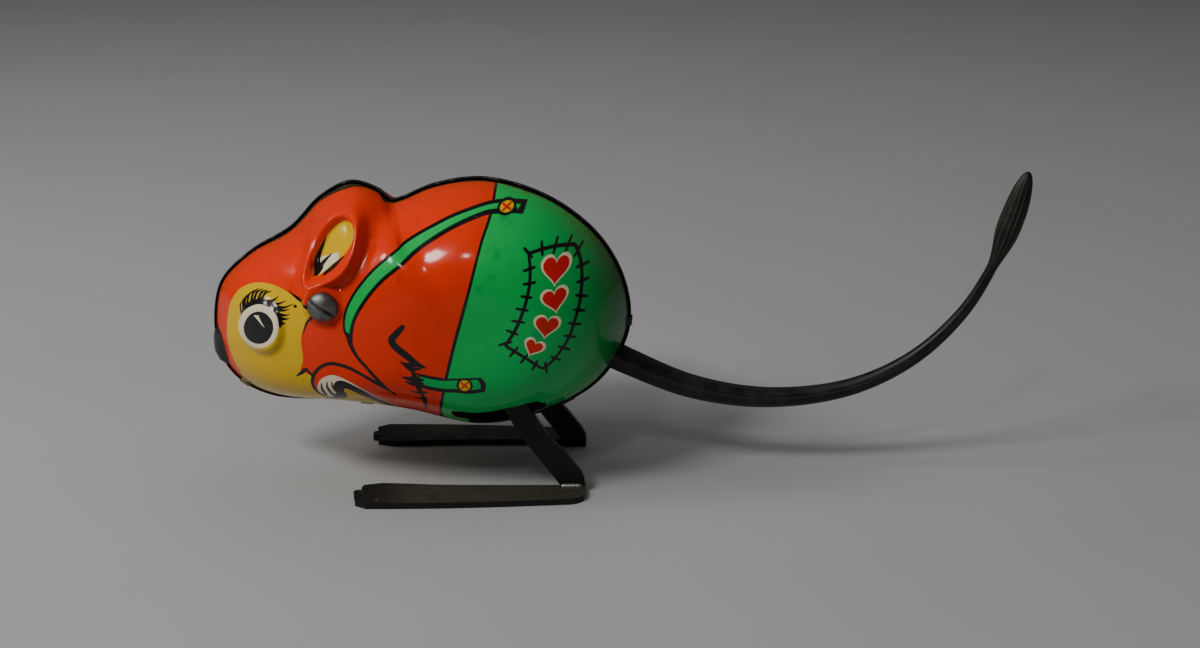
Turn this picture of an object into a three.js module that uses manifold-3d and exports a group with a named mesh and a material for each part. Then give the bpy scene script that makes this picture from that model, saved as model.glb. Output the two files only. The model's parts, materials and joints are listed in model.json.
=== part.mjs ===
// A clockwork jumping mouse in printed tin plate, in millimetres, +Z up.
// It is drawn with x from the nose (negative) to the tail's tip, y = 0 on the seam between the two
// half shells and z = 0 on the table. The finished group is then moved so that its origin lies on the
// table under the middle of its bounding box.
import * as THREE from "three";
import { mergeVertices } from "three/addons/utils/BufferGeometryUtils.js";
import Module from "manifold-3d";

const wasm = await Module();
wasm.setup();

// ---------------------------------------------------------------- driving dimensions

const BODY_MIDDLE = { x: -22, z: 33 }; // every section line of a half shell starts here
const BODY_HALF_WIDTH = 18;
const SNOUT_NARROWING = 2.5; // the head is this much slimmer on each side than the rump
const TIN = 0.6; // wall of a half shell
const BEAD = { height: 0.5, halfWidth: 0.45 }; // raised edge along the seam
const DOME_POWER = 4; // how full the half shells are: 2 is an ellipse, more is squarer

const FRAME_FACE = 6.5; // inner face of each motor plate, from the seam
const PLATE = 0.8;
const CLEARANCE = 0.15; // round an arbor in its bearing, and between neighbours
const MODULE = 0.5;
const ARBOR_RADIUS = 1;

const WINDING_AXIS = { x: -12.5, z: 38.5 };
const LEG_AXIS = { x: -19.5, z: 26.5 };
const SCREW_AXIS = { x: -47, z: 37.6 };

const BARREL_TEETH = 40;
const SECOND_TEETH = 36;
const PINION_TEETH = 10;
const RATCHET_TEETH = 12;
const TOWARDS_SECOND = THREE.MathUtils.degToRad(170); // from the winding axis
const TOWARDS_CAM = THREE.MathUtils.degToRad(222); // from the second arbor

const STEEL = 1.2; // thickness of a leg and its foot
const LEG_FACE = 9; // inner face of each leg, from the seam
// The slot that a leg swings in, seen from below: [x, distance from the seam].
const LEG_SLOT = [
  [-23.4, 7.8], [-9.6, 7.8], [-9.6, 11.2], [-11, 13.4], [-12.8, 14.1], [-16.5, 14.7], [-24.4, 14.7],
  [-26.2, 14.1], [-26.2, 12], [-23.4, 12],
];
const FOOT = { heel: -2.7, toe: -44.3, inner: 9.8, heelOuter: 15.4, toeInner: 9, toeOuter: 17 };

// The eye boss is round about an axis that leans a little forwards and up.
const EYE = { x: -59.3, z: 32.2, radius: 4.9, height: 1.1, axis: new THREE.Vector3(-0.25, -0.92, 0.3) };
// The ear is a hollow, long and narrow, inside a rolled rim.
const EAR = { x: -45.9, z: 46.4, lean: THREE.MathUtils.degToRad(-35), long: 5.2, short: 2.3 };
const EAR_RELIEF = { rim: 2.2, hollow: 2.2 };

// ---------------------------------------------------------------- colours

function paint(color, roughness, metalness) {
  return new THREE.MeshStandardMaterial({ color, roughness, metalness });
}
const printedTin = paint(0xd8431b, 0.25, 0.2);
const blackNose = paint(0x101010, 0.3, 0);
const tailRubber = paint(0x2a2826, 0.55, 0);
const brownedSteel = paint(0x3a3732, 0.5, 0.8);
const brightSteel = paint(0x8d8f90, 0.35, 1);
const springSteel = paint(0x4a5560, 0.3, 1);
const brass = paint(0xb08d45, 0.35, 1);

// ---------------------------------------------------------------- small helpers

const smooth = (from, to, value) => THREE.MathUtils.smoothstep(value, from, to);
const polar = (centre, radius, angle) => ({
  x: centre.x + radius * Math.cos(angle),
  z: centre.z + radius * Math.sin(angle),
});

function solidOf(geometry) {
  const bare = new THREE.BufferGeometry().setAttribute("position", geometry.getAttribute("position"));
  if (geometry.index) bare.setIndex(geometry.index);
  const merged = mergeVertices(bare, 1e-4);
  const vertProperties = merged.getAttribute("position").array;
  const triVerts = new Uint32Array(merged.index.array);
  return new wasm.Manifold(new wasm.Mesh({ numProp: 3, vertProperties, triVerts }));
}

function geometryOf(solid) {
  const mesh = solid.getMesh();
  const geometry = new THREE.BufferGeometry();
  geometry.setAttribute("position", new THREE.BufferAttribute(mesh.vertProperties, 3));
  geometry.setIndex(new THREE.BufferAttribute(mesh.triVerts, 1));
  return geometry;
}

const cut = (geometry, ...tools) =>
  geometryOf(tools.reduce((solid, tool) => solid.subtract(solidOf(tool)), solidOf(geometry)));
const join = (geometry, ...others) =>
  geometryOf(others.reduce((solid, other) => solid.add(solidOf(other)), solidOf(geometry)));

// A flat piece: the shape is drawn in x and z, and fills from y0 to y1.
function plate(shape, y0, y1) {
  const geometry = new THREE.ExtrudeGeometry(shape, { depth: y1 - y0, bevelEnabled: false, curveSegments: 6 });
  return geometry.rotateX(Math.PI / 2).translate(0, y1, 0);
}

// A turned piece round the y axis: the profile is [radius, y] pairs from low y to high y.
function turned(profile, sides = 24) {
  return new THREE.LatheGeometry(profile.map(([r, y]) => new THREE.Vector2(r, y)), sides);
}
const rod = (radius, y0, y1, sides) => turned([[0, y0], [radius, y0], [radius, y1], [0, y1]], sides);
const tube = (radius, bore, y0, y1, sides) =>
  turned([[bore, y0], [radius, y0], [radius, y1], [bore, y1], [bore, y0]], sides);

function box(x0, x1, y0, y1, z0, z1) {
  const geometry = new THREE.BoxGeometry(x1 - x0, y1 - y0, z1 - z0);
  return geometry.translate((x0 + x1) / 2, (y0 + y1) / 2, (z0 + z1) / 2);
}

// Skins over rings of points that all hold the same number of points, with a flat end at each side.
function loft(rings) {
  const count = rings[0].length;
  const middleOf = (ring) =>
    ring.reduce((sum, p) => sum.add(p), new THREE.Vector3()).divideScalar(count);
  const points = [...rings.flat(), middleOf(rings[0]), middleOf(rings.at(-1))];
  const firstMiddle = points.length - 2;
  const lastMiddle = points.length - 1;
  const lastRing = (rings.length - 1) * count;
  const faces = [];
  for (let i = 0; i < count; i++) {
    const next = (i + 1) % count;
    faces.push(firstMiddle, next, i, lastMiddle, lastRing + i, lastRing + next);
    for (let row = 0; row < lastRing; row += count) {
      faces.push(row + i, row + next, row + count + next, row + i, row + count + next, row + count + i);
    }
  }
  return new THREE.BufferGeometry().setFromPoints(points).setIndex(faces);
}

function shapeFrom(points) {
  return new THREE.Shape(points.map(([x, z]) => new THREE.Vector2(x, z)));
}

function circleHole(shape, centre, radius) {
  shape.holes.push(new THREE.Path().absarc(centre.x, centre.z, radius, 0, 2 * Math.PI));
}

// ---------------------------------------------------------------- the tin body

// The outer edge of the seam's bead: nose, head, back, rump, and home along the belly.
const SEAM_POINTS = [
  [-69.8, 29], [-68, 37], [-62.5, 42.6], [-54.8, 47.3], [-49.2, 52.9], [-43.6, 55.6], [-38.7, 54.1],
  [-36.5, 52.3], [-34.8, 52.7], [-29, 55.1], [-20, 56.2], [-9, 52.8], [0, 45.6], [4.8, 36.5],
  [5.3, 27.5], [0, 17.9], [-10, 11.8], [-22, 9.2], [-36, 12.3], [-48, 13.9], [-60, 14.8], [-65.2, 17.3],
  [-68.2, 20.8], [-69.4, 25],
];
const seam = new THREE.CatmullRomCurve3(
  SEAM_POINTS.map(([x, z]) => new THREE.Vector3(x, 0, z)), true, "centripetal",
);
const SEAM_STEPS = 64;
const edgePoints = seam.getSpacedPoints(SEAM_STEPS).slice(0, SEAM_STEPS);

// The bead's outer edge moved in by a distance, square to itself.
function outlineAt(depth) {
  return edgePoints.map((point, i) => {
    const before = edgePoints.at(i - 1);
    const after = edgePoints[(i + 1) % SEAM_STEPS];
    const along = after.clone().sub(before).normalize();
    return point.clone().add(new THREE.Vector3(along.z, 0, -along.x).multiplyScalar(depth));
  });
}

function halfWidthAt(x) {
  return BODY_HALF_WIDTH - SNOUT_NARROWING * smooth(30, 60, -x);
}
const screwSeatY = halfWidthAt(SCREW_AXIS.x) * 0.93;

// How far the eye boss stands out of the plain dome at a point of the left half.
function eyeRelief(point) {
  const eyeShare = 0.775; // of the way from the body's middle to the seam
  const centre = new THREE.Vector3(EYE.x, -plainDomeY(EYE.x, eyeShare, 0), EYE.z);
  const offAxis = point.clone().sub(centre).cross(EYE.axis).length() / EYE.axis.length();
  return EYE.height * (1 - smooth(EYE.radius - 1.2, EYE.radius + 0.9, offAxis));
}

// The ear's rim and hollow, by the distance out from the hollow's outline.
function earRelief(x, z) {
  const along = (x - EAR.x) * -Math.sin(EAR.lean) + (z - EAR.z) * Math.cos(EAR.lean);
  const across = (x - EAR.x) * Math.cos(EAR.lean) + (z - EAR.z) * Math.sin(EAR.lean);
  const narrowing = 1.35 - 0.35 * smooth(-EAR.long, EAR.long, along);
  const reach = Math.max(0.01, Math.hypot(along / EAR.long, (across * narrowing) / EAR.short));
  const outside = Math.hypot(along, across) * (1 - 1 / reach);
  return EAR_RELIEF.rim * (1 - smooth(1.2, 4, outside)) - EAR_RELIEF.hollow * (1 - smooth(-1.3, 1, outside));
}

function plainDomeY(x, share, wall) {
  return BEAD.halfWidth + (halfWidthAt(x) - wall - BEAD.halfWidth) * (1 - share ** DOME_POWER);
}

// One half shell's distance from the seam plane, at a share of the way from the middle to the seam.
function domeY(x, z, share, wall) {
  const plain = plainDomeY(x, share, wall);
  if (wall !== 0) return plain; // the relief is only on the outside
  return plain + (eyeRelief(new THREE.Vector3(x, -plain, z)) + earRelief(x, z)) * (1 - share ** 12);
}

function domeRing(outline, share, wall, side) {
  return outline.map((point) => {
    const x = THREE.MathUtils.lerp(BODY_MIDDLE.x, point.x, share);
    const z = THREE.MathUtils.lerp(BODY_MIDDLE.z, point.z, share);
    return new THREE.Vector3(x, side * domeY(x, z, share, wall), z);
  });
}

const flatRing = (outline, y) => outline.map((point) => new THREE.Vector3(point.x, y, point.z));
const sharesTo = (steps) =>
  Array.from({ length: steps }, (_, i) => Math.sin(((i + 0.5) / steps) * (Math.PI / 2)));

// side is -1 for the left half, which faces -y, and +1 for the right.
function halfShell(side) {
  const outline = outlineAt(BEAD.height);
  const inside = outlineAt(BEAD.height + TIN);
  const outer = sharesTo(10).map((share) => domeRing(outline, share, 0, side));
  const inner = sharesTo(5).map((share) => domeRing(inside, share, TIN, side));
  const bead = side * BEAD.halfWidth;
  const edge = [
    flatRing(outline, bead), flatRing(edgePoints, bead), flatRing(edgePoints, 0), flatRing(inside, 0),
  ];
  const rings = [...outer, ...edge, ...inner.reverse()];
  return loft(side < 0 ? rings : rings.reverse());
}

// Everything inside the outer skin, grown by a margin: it trims what sits on the shell.
function bodyEnvelope(margin) {
  const outline = outlineAt(-margin);
  const left = sharesTo(8).map((share) => domeRing(outline, share, -margin, -1));
  const right = sharesTo(8).map((share) => domeRing(outline, share, -margin, 1));
  return loft([...left, flatRing(outline, 0), ...right.reverse()]);
}

// ---------------------------------------------------------------- the tail

const TAIL_LINE = new THREE.CatmullRomCurve3(
  [[-1.5, 24.9], [5.6, 21.2], [17.2, 16.4], [31, 14.3], [45.9, 16.3], [57, 22], [65.2, 30.5],
    [70, 39.5], [72.9, 49], [74.9, 57.1]].map(([x, z]) => new THREE.Vector3(x, 0, z)),
  false, "centripetal",
);
const TAIL = { rootRadius: 2.65, thinRadius: 0.95, tuftRadius: 2.2, tuftStart: 0.815, flatness: 0.85 };

function tailRadius(share) {
  const taper = THREE.MathUtils.lerp(TAIL.rootRadius, TAIL.thinRadius, Math.min(1, share / TAIL.tuftStart));
  if (share < TAIL.tuftStart) return taper;
  const along = (share - TAIL.tuftStart) / (1 - TAIL.tuftStart);
  const swollen = THREE.MathUtils.lerp(TAIL.thinRadius, TAIL.tuftRadius, smooth(0, 0.45, along));
  const rounded = Math.sqrt(1 - Math.max(0, (along - 0.45) / 0.55) ** 2.3);
  return Math.max(0.3, swollen * rounded);
}

function tailRing(share, radius, sides) {
  const middle = TAIL_LINE.getPointAt(share);
  const along = TAIL_LINE.getTangentAt(share);
  const up = new THREE.Vector3(-along.z, 0, along.x);
  return Array.from({ length: sides }, (_, i) => {
    const turn = (2 * Math.PI * i) / sides;
    const sideways = new THREE.Vector3(0, TAIL.flatness * radius * Math.cos(turn), 0);
    return middle.clone().addScaledVector(up, radius * Math.sin(turn)).add(sideways);
  });
}

function tail() {
  const steps = 38;
  const rings = [];
  for (let i = 0; i <= steps; i++) rings.push(tailRing(i / steps, tailRadius(i / steps), 12));
  return loft(rings);
}

const tailHole = () =>
  loft([0, 0.035, 0.09, 0.12].map((share) => tailRing(share, tailRadius(share) + 0.3, 16)));

// ---------------------------------------------------------------- gears, ratchet and cam

const outerRadius = (teeth) => (teeth * MODULE) / 2 + 0.8 * MODULE;

// An involute stub gear with a 25 degree pressure angle; a tooth points along the phase angle.
function gearShape(teeth, phase, bore) {
  const pitch = (teeth * MODULE) / 2;
  const pressure = THREE.MathUtils.degToRad(25);
  const base = pitch * Math.cos(pressure);
  const root = pitch - 1.05 * MODULE;
  const tip = outerRadius(teeth);
  const backlash = 0.16;
  const involute = (angle) => Math.tan(angle) - angle;
  const halfAngle = (radius) =>
    (Math.PI / 2 - backlash / (2 * MODULE)) / teeth + involute(pressure) -
    involute(Math.acos(Math.min(1, base / radius)));
  const flank = [root, pitch, tip];
  const points = [];
  for (let tooth = 0; tooth < teeth; tooth++) {
    const middle = phase + (2 * Math.PI * tooth) / teeth;
    for (const radius of flank) {
      const angle = middle - halfAngle(radius);
      points.push([radius * Math.cos(angle), radius * Math.sin(angle)]);
    }
    for (const radius of [...flank].reverse()) {
      const angle = middle + halfAngle(radius);
      points.push([radius * Math.cos(angle), radius * Math.sin(angle)]);
    }
  }
  const shape = shapeFrom(points);
  circleHole(shape, { x: 0, z: 0 }, bore);
  return shape;
}

// Saw teeth: each has its steep face at the phase angle and falls away slowly behind it.
function sawShape(teeth, low, high, steps, phase, bore) {
  const points = [];
  for (let tooth = 0; tooth < teeth; tooth++) {
    for (let step = 0; step <= steps; step++) {
      const angle = phase + ((tooth + (0.97 * step) / steps) * 2 * Math.PI) / teeth;
      const radius = THREE.MathUtils.lerp(high, low, step / steps);
      points.push([radius * Math.cos(angle), radius * Math.sin(angle)]);
    }
  }
  const shape = shapeFrom(points);
  circleHole(shape, { x: 0, z: 0 }, bore);
  return shape;
}

// A flat spring seen edge on: a strip of even thickness along a line of [x, z] points.
function stripShape(line, thickness) {
  const edge = (side) =>
    line.map(([x, z], i) => {
      const [x0, z0] = line[Math.max(0, i - 1)];
      const [x1, z1] = line[Math.min(line.length - 1, i + 1)];
      const shift = (side * thickness) / (2 * Math.hypot(x1 - x0, z1 - z0));
      return [x - (z1 - z0) * shift, z + (x1 - x0) * shift];
    });
  return shapeFrom([...edge(1), ...edge(-1).reverse()]);
}

function spiralLine(inner, outer, turns) {
  const steps = Math.round(turns * 16);
  return Array.from({ length: steps + 1 }, (_, i) => {
    const angle = (2 * Math.PI * turns * i) / steps;
    const radius = THREE.MathUtils.lerp(inner, outer, i / steps);
    return [radius * Math.cos(angle), radius * Math.sin(angle)];
  });
}

// ---------------------------------------------------------------- where the train stands

const centreDistance = (teeth) => ((teeth + PINION_TEETH) * MODULE) / 2;
const SECOND_AXIS = polar(WINDING_AXIS, centreDistance(BARREL_TEETH), TOWARDS_SECOND);
const CAM_AXIS = polar(SECOND_AXIS, centreDistance(SECOND_TEETH), TOWARDS_CAM);
const halfTooth = Math.PI / PINION_TEETH;
const GEAR_Y = { barrel: [1.8, 2.7], secondPinion: [1.3, 3.9], second: [4.1, 4.9], camPinion: [3.8, 5.2] };
const CAM = { radius: 6, low: 3.8, lobes: 4, y: [-3, -0.6] };
const BARREL = { radius: 9.5 };
const LEVER = { hub: 3, tip: 0.8 };
const LEVER_TIP = polar(CAM_AXIS, CAM.radius + LEVER.tip + 0.3, THREE.MathUtils.degToRad(-8));
const leverAngle = Math.atan2(LEVER_TIP.z - LEG_AXIS.z, LEVER_TIP.x - LEG_AXIS.x);
const PILLARS = {
  front_top: { x: -41.5, z: 42 },
  front_bottom: { x: -42.5, z: 28.5 },
  stop: polar(LEG_AXIS, 6.75, leverAngle + THREE.MathUtils.degToRad(21)), // the kick lever rests on it
  rear_bottom: { x: -7.5, z: 24.2 },
  rear_top: { x: -17.5, z: 50 },
};
const PILLAR_RADIUS = 1.25;
const RATCHET = { low: 3.2, high: 4.5, y: [7.7, 8.7] };
const CATCH_ANGLE = THREE.MathUtils.degToRad(152); // where the click's tip stands round the ratchet wheel
const CLICK_AXIS = polar(WINDING_AXIS, 8.4, THREE.MathUtils.degToRad(105));
const CLICK_SPRING_AXIS = { x: -21.3, z: 45.6 };

// ---------------------------------------------------------------- motor frame

const FRAME_OUTLINE = [
  [-51, 39.5], [-51, 34.5], [-49.5, 33], [-46, 32], [-45, 26.5], [-43, 25.5], [-30, 25], [-23, 22.5],
  [-9, 21.5], [-5, 22.5], [-1.5, 30], [-1, 35], [-2.5, 39.6], [-4.8, 43], [-9, 46.6], [-13, 49],
  [-15.5, 51], [-18, 51.4], [-23, 51], [-30, 47], [-40, 44.5], [-44, 43], [-49.5, 41],
];

function framePlate(side) {
  const shape = shapeFrom(FRAME_OUTLINE);
  circleHole(shape, WINDING_AXIS, 1.5 + CLEARANCE);
  circleHole(shape, LEG_AXIS, 1.5 + CLEARANCE);
  circleHole(shape, SCREW_AXIS, 1.5 + CLEARANCE);
  for (const axis of [SECOND_AXIS, CAM_AXIS]) circleHole(shape, axis, ARBOR_RADIUS + CLEARANCE);
  for (const pillar of Object.values(PILLARS)) circleHole(shape, pillar, 0.8 + CLEARANCE);
  if (side > 0) for (const axis of [CLICK_AXIS, CLICK_SPRING_AXIS]) circleHole(shape, axis, 0.8 + CLEARANCE);
  const faces = [side * FRAME_FACE, side * (FRAME_FACE + PLATE)];
  return plate(shape, Math.min(...faces), Math.max(...faces));
}

// A pillar's thin ends pass through both plates and are riveted over.
function pillar() {
  const end = FRAME_FACE + PLATE + CLEARANCE;
  const shoulder = FRAME_FACE - 0.05;
  const neck = 0.8;
  return turned([
    [0, -end - 0.5], [1.2, -end - 0.5], [1.2, -end], [neck, -end], [neck, -shoulder],
    [PILLAR_RADIUS, -shoulder], [PILLAR_RADIUS, shoulder], [neck, shoulder], [neck, end], [1.2, end],
    [1.2, end + 0.5], [0, end + 0.5],
  ], 12);
}

// An arbor with a shoulder inside each plate.
function arbor(radius) {
  const end = FRAME_FACE + PLATE + 0.4;
  const shoulder = FRAME_FACE - 0.2;
  const wide = radius + 0.35;
  return turned([
    [0, -end], [radius, -end], [radius, -shoulder], [wide, -shoulder], [wide, -shoulder + 0.6],
    [radius, -shoulder + 0.6], [radius, shoulder - 0.6], [wide, shoulder - 0.6], [wide, shoulder],
    [radius, shoulder], [radius, end], [0, end],
  ], 14);
}

// A stud through the right plate, with its outer head between y0 and y1.
function platedStud(y0, y1) {
  return turned([
    [0, 6.1], [1.3, 6.1], [1.3, 6.4], [0.8, 6.4], [0.8, y0], [1.3, y0], [1.3, y1], [0, y1],
  ], 12);
}

// ---------------------------------------------------------------- winding key

const KEY_HUB = [20, 25.5]; // along y
const KEY_TILT = THREE.MathUtils.degToRad(35);

function windingKey() {
  const wings = new THREE.Shape();
  wings.moveTo(-2, 21.5);
  wings.bezierCurveTo(-5, 20, -9.2, 21, -9.2, 25.5);
  wings.bezierCurveTo(-9.2, 30.5, -3, 31, -1.4, 26.8);
  wings.lineTo(1.4, 26.8);
  wings.bezierCurveTo(3, 31, 9.2, 30.5, 9.2, 25.5);
  wings.bezierCurveTo(9.2, 21, 5, 20, 2, 21.5);
  for (const side of [-1, 1]) {
    wings.holes.push(new THREE.Path().absellipse(side * 6, 25.4, 1.5, 1.9, 0, 2 * Math.PI));
  }
  const blade = new THREE.ExtrudeGeometry(wings, { depth: 1.1, bevelEnabled: false, curveSegments: 7 });
  blade.translate(0, 0, -0.55);
  const square = box(-1.15, 1.15, KEY_HUB[0] - 1, KEY_HUB[1] - 1, -1.15, 1.15);
  return cut(join(rod(2.5, ...KEY_HUB, 20), blade), square);
}

function windingArbor() {
  const stem = turned([
    [0, -7.8], [1.5, -7.8], [1.5, -4.7], [2.4, -4.7], [2.4, 0.6], [1.5, 0.6], [1.5, 19.6], [0, 19.6],
  ]);
  const squareEnd = box(-1.02, 1.02, 19, 24.2, -1.02, 1.02);
  const springHook = box(2, 3, -3, -2, -0.45, 0.45);
  return join(stem, squareEnd, springHook);
}

// ---------------------------------------------------------------- ratchet click

function clickShape() {
  const eye = 1.7;
  const from = (radius, angle) => {
    const point = polar(WINDING_AXIS, radius, angle);
    return [point.x - CLICK_AXIS.x, point.z - CLICK_AXIS.z];
  };
  const shape = new THREE.Shape();
  shape.absarc(0, 0, eye, THREE.MathUtils.degToRad(-20), THREE.MathUtils.degToRad(190), false);
  shape.lineTo(...from(5.1, CATCH_ANGLE));
  shape.lineTo(...from(RATCHET.low + 0.45, CATCH_ANGLE));
  shape.lineTo(...from(5.2, CATCH_ANGLE - THREE.MathUtils.degToRad(32)));
  circleHole(shape, { x: 0, z: 0 }, 0.8 + CLEARANCE);
  return shape;
}

// A leaf that presses on the click beside its pivot, held by a stud in the plate.
function clickSpring() {
  const { x, z } = CLICK_SPRING_AXIS;
  const line = [[x, z + 1], [x + 1, z + 2], [x + 2.2, z + 2.4], [x + 3.4, z + 2], [x + 4.1, z + 0.9],
    [x + 4.3, z - 0.6]];
  const stud = platedStud(7.7, 8.7).translate(x, 0, z);
  return join(stud, plate(stripShape(line, 0.35), ...RATCHET.y));
}

// ---------------------------------------------------------------- legs

// The strip from the leg shaft to the heel, tapered and leaning back.
function legStripShape() {
  const at = ([x, z]) => [x - LEG_AXIS.x, z - LEG_AXIS.z];
  const shape = new THREE.Shape();
  shape.moveTo(...at([-22.6, 25.7]));
  for (const point of [[-17.2, 16.5], [-14.2, 11], [-11.5, 7.4], [-7.1, STEEL], [-7.1, 0], [FOOT.heel, 0],
    [FOOT.heel, STEEL], [-3.4, 3.9], [-6.1, 7.5], [-9.2, 11], [-12.6, 16.5], [-16.4, 27.3]]) {
    shape.lineTo(...at(point));
  }
  shape.absarc(0, 0, 3.2, 0.25, Math.PI + 0.25, false);
  circleHole(shape, { x: 0, z: 0 }, 1.25);
  return shape;
}

// The foot seen from above, for the leg on the +y side: a round heel, and three toes parted by notches.
function footShape() {
  const { heel, toe, inner, heelOuter, toeInner, toeOuter } = FOOT;
  const shape = new THREE.Shape();
  shape.moveTo(heel, LEG_FACE);
  shape.lineTo(heel, heelOuter - 3);
  shape.quadraticCurveTo(heel, heelOuter, heel - 4, heelOuter);
  shape.bezierCurveTo(heel - 18, toeOuter - 0.4, toe + 14, toeOuter, toe + 2.8, toeOuter);
  shape.lineTo(toe + 0.7, toeOuter - 1.2);
  shape.lineTo(toe + 0.7, toeOuter - 2.4);
  shape.lineTo(toe + 2.4, toeOuter - 2.9);
  shape.lineTo(toe, toeOuter - 3.4);
  shape.lineTo(toe, toeInner + 2.8);
  shape.lineTo(toe + 2.6, toeInner + 2.4);
  shape.lineTo(toe + 1.1, toeInner + 1.9);
  shape.lineTo(toe + 1.4, toeInner + 0.8);
  shape.lineTo(toe + 4.6, toeInner);
  shape.bezierCurveTo(toe + 10, toeInner + 0.2, toe + 14, inner, toe + 22, inner);
  shape.lineTo(heel - 4.4, inner);
  shape.lineTo(heel - 4.4, LEG_FACE);
  return shape;
}

// A leg and its foot are one strip of steel, folded outwards along the foot's inner edge.
function leg(side) {
  const y = [side * LEG_FACE, side * (LEG_FACE + STEEL)];
  const strip = plate(legStripShape(), Math.min(...y), Math.max(...y)).translate(LEG_AXIS.x, 0, LEG_AXIS.z);
  const foot = new THREE.ExtrudeGeometry(footShape(), { depth: STEEL, bevelEnabled: false, curveSegments: 6 });
  const placed = side > 0 ? solidOf(foot) : solidOf(foot).mirror([0, 1, 0]);
  return geometryOf(solidOf(strip).add(placed)).translate(-LEG_AXIS.x, 0, -LEG_AXIS.z);
}

function legShaft() {
  const face = LEG_FACE - 0.05;
  const end = LEG_FACE + STEEL + 0.05;
  return turned([
    [0, -end - 0.9], [1.7, -end - 0.6], [2.1, -end], [1.2, -end], [1.2, -face], [1.5, -face], [1.5, face],
    [1.2, face], [1.2, end], [2.1, end], [1.7, end + 0.6], [0, end + 0.9],
  ], 18);
}

function kickLeverShape() {
  const dx = LEVER_TIP.x - LEG_AXIS.x;
  const dz = LEVER_TIP.z - LEG_AXIS.z;
  const shape = new THREE.Shape();
  shape.absarc(0, 0, LEVER.hub, leverAngle + 0.55, leverAngle - 0.55 + 2 * Math.PI, false);
  shape.absarc(dx, dz, LEVER.tip, leverAngle - Math.PI / 2, leverAngle + Math.PI / 2, false);
  circleHole(shape, { x: 0, z: 0 }, 1.5 + 0.08);
  return shape;
}

class Coil extends THREE.Curve {
  constructor(radius, turns, y0, y1) {
    super();
    Object.assign(this, { radius, turns, y0, y1 });
  }

  getPoint(share, target = new THREE.Vector3()) {
    const angle = 2 * Math.PI * this.turns * share;
    const y = THREE.MathUtils.lerp(this.y0, this.y1, share);
    return target.set(this.radius * Math.cos(angle), y, this.radius * Math.sin(angle));
  }
}

function legSpring() {
  const section = new THREE.Shape().absarc(0, 0, 0.3, 0, 2 * Math.PI);
  const path = new Coil(2.4, 4.25, 0.6, 4.6);
  return new THREE.ExtrudeGeometry(section, { extrudePath: path, steps: 44, curveSegments: 3 });
}

// ---------------------------------------------------------------- screw and spacers

// A domed head with a slot, and a plain shank, pointing along +y from the head.
function slottedScrew(headRadius, headHeight, shankRadius, length) {
  const dome = [];
  for (let i = 0; i <= 4; i++) {
    const turn = (Math.PI / 2) * (i / 4);
    dome.push([headRadius * Math.sin(turn), -headHeight * Math.cos(turn)]);
  }
  const body = turned([...dome, [shankRadius, 0], [shankRadius, length], [0, length]], 24);
  const slot = box(-headRadius - 1, headRadius + 1, -headHeight - 1, -headHeight * 0.45, -0.35, 0.35);
  return cut(body, slot.rotateY(THREE.MathUtils.degToRad(33)));
}

function domedNut(radius, height, bore) {
  const dome = [];
  for (let i = 0; i <= 4; i++) {
    const turn = (Math.PI / 2) * (i / 4);
    dome.push([radius * Math.cos(turn), height * Math.sin(turn)]);
  }
  return turned([[0, 0.9], [bore, 0.9], [bore, 0], ...dome], 24);
}

// ---------------------------------------------------------------- the nose

// A narrow bead that straddles the seam, with a stem held between the half shells.
function nose() {
  const bead = new THREE.SphereGeometry(1, 20, 14).scale(2.3, 1.7, 4.5);
  bead.translate(-67.95, 0, 25.4);
  const stem = rod(1, 0, 7, 14).rotateZ(-Math.PI / 2).translate(-69.6, 0, 26);
  return join(cut(bead, bodyEnvelope(0.25)), stem);
}

const noseHole = () => rod(1.3, 0, 9, 14).rotateZ(-Math.PI / 2).translate(-72, 0, 26);

// ---------------------------------------------------------------- the whole toy

const toy = new THREE.Group();

function add(parent, name, geometry, material, x = 0, z = 0) {
  const mesh = new THREE.Mesh(geometry, material);
  mesh.name = name;
  mesh.position.set(x, 0, z);
  parent.add(mesh);
  return mesh;
}

const sides = { left: -1, right: 1 };

// Body: the two halves are opened for the legs, the screw, the nose, the tail and the key's arbor.
for (const [name, side] of Object.entries(sides)) {
  const across = (profile, sides) => turned(profile, sides).rotateX(side < 0 ? Math.PI : 0);
  const atScrew = (geometry) => geometry.translate(SCREW_AXIS.x, 0, SCREW_AXIS.z);
  const solidRod = (radius, y0, y1) => across([[0, y0], [radius, y0], [radius, y1], [0, y1]], 20);
  const seatAbove = atScrew(solidRod(3.2, screwSeatY, 24));
  const seatBelow = atScrew(solidRod(2.8, 8, screwSeatY - TIN));
  const seat = atScrew(solidRod(3.7, screwSeatY - TIN, screwSeatY));
  const screwHole = atScrew(rod(1.5 + CLEARANCE, -24, 24, 20));
  const slotShape = new THREE.Shape(LEG_SLOT.map(([x, y]) => new THREE.Vector2(x, side * y)));
  const legSlot = new THREE.ExtrudeGeometry(slotShape, { depth: 16, bevelEnabled: false }).translate(0, 0, 5);
  const tools = [screwHole, legSlot, noseHole(), tailHole()];
  if (side > 0) tools.push(rod(2.8, 8, 24, 24).translate(WINDING_AXIS.x, 0, WINDING_AXIS.z));
  const seated = join(cut(halfShell(side), seatAbove, seatBelow), seat);
  add(toy, `${name}_shell`, cut(seated, ...tools), printedTin);
}
add(toy, "nose", nose(), blackNose);
add(toy, "tail", tail(), tailRubber);

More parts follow.
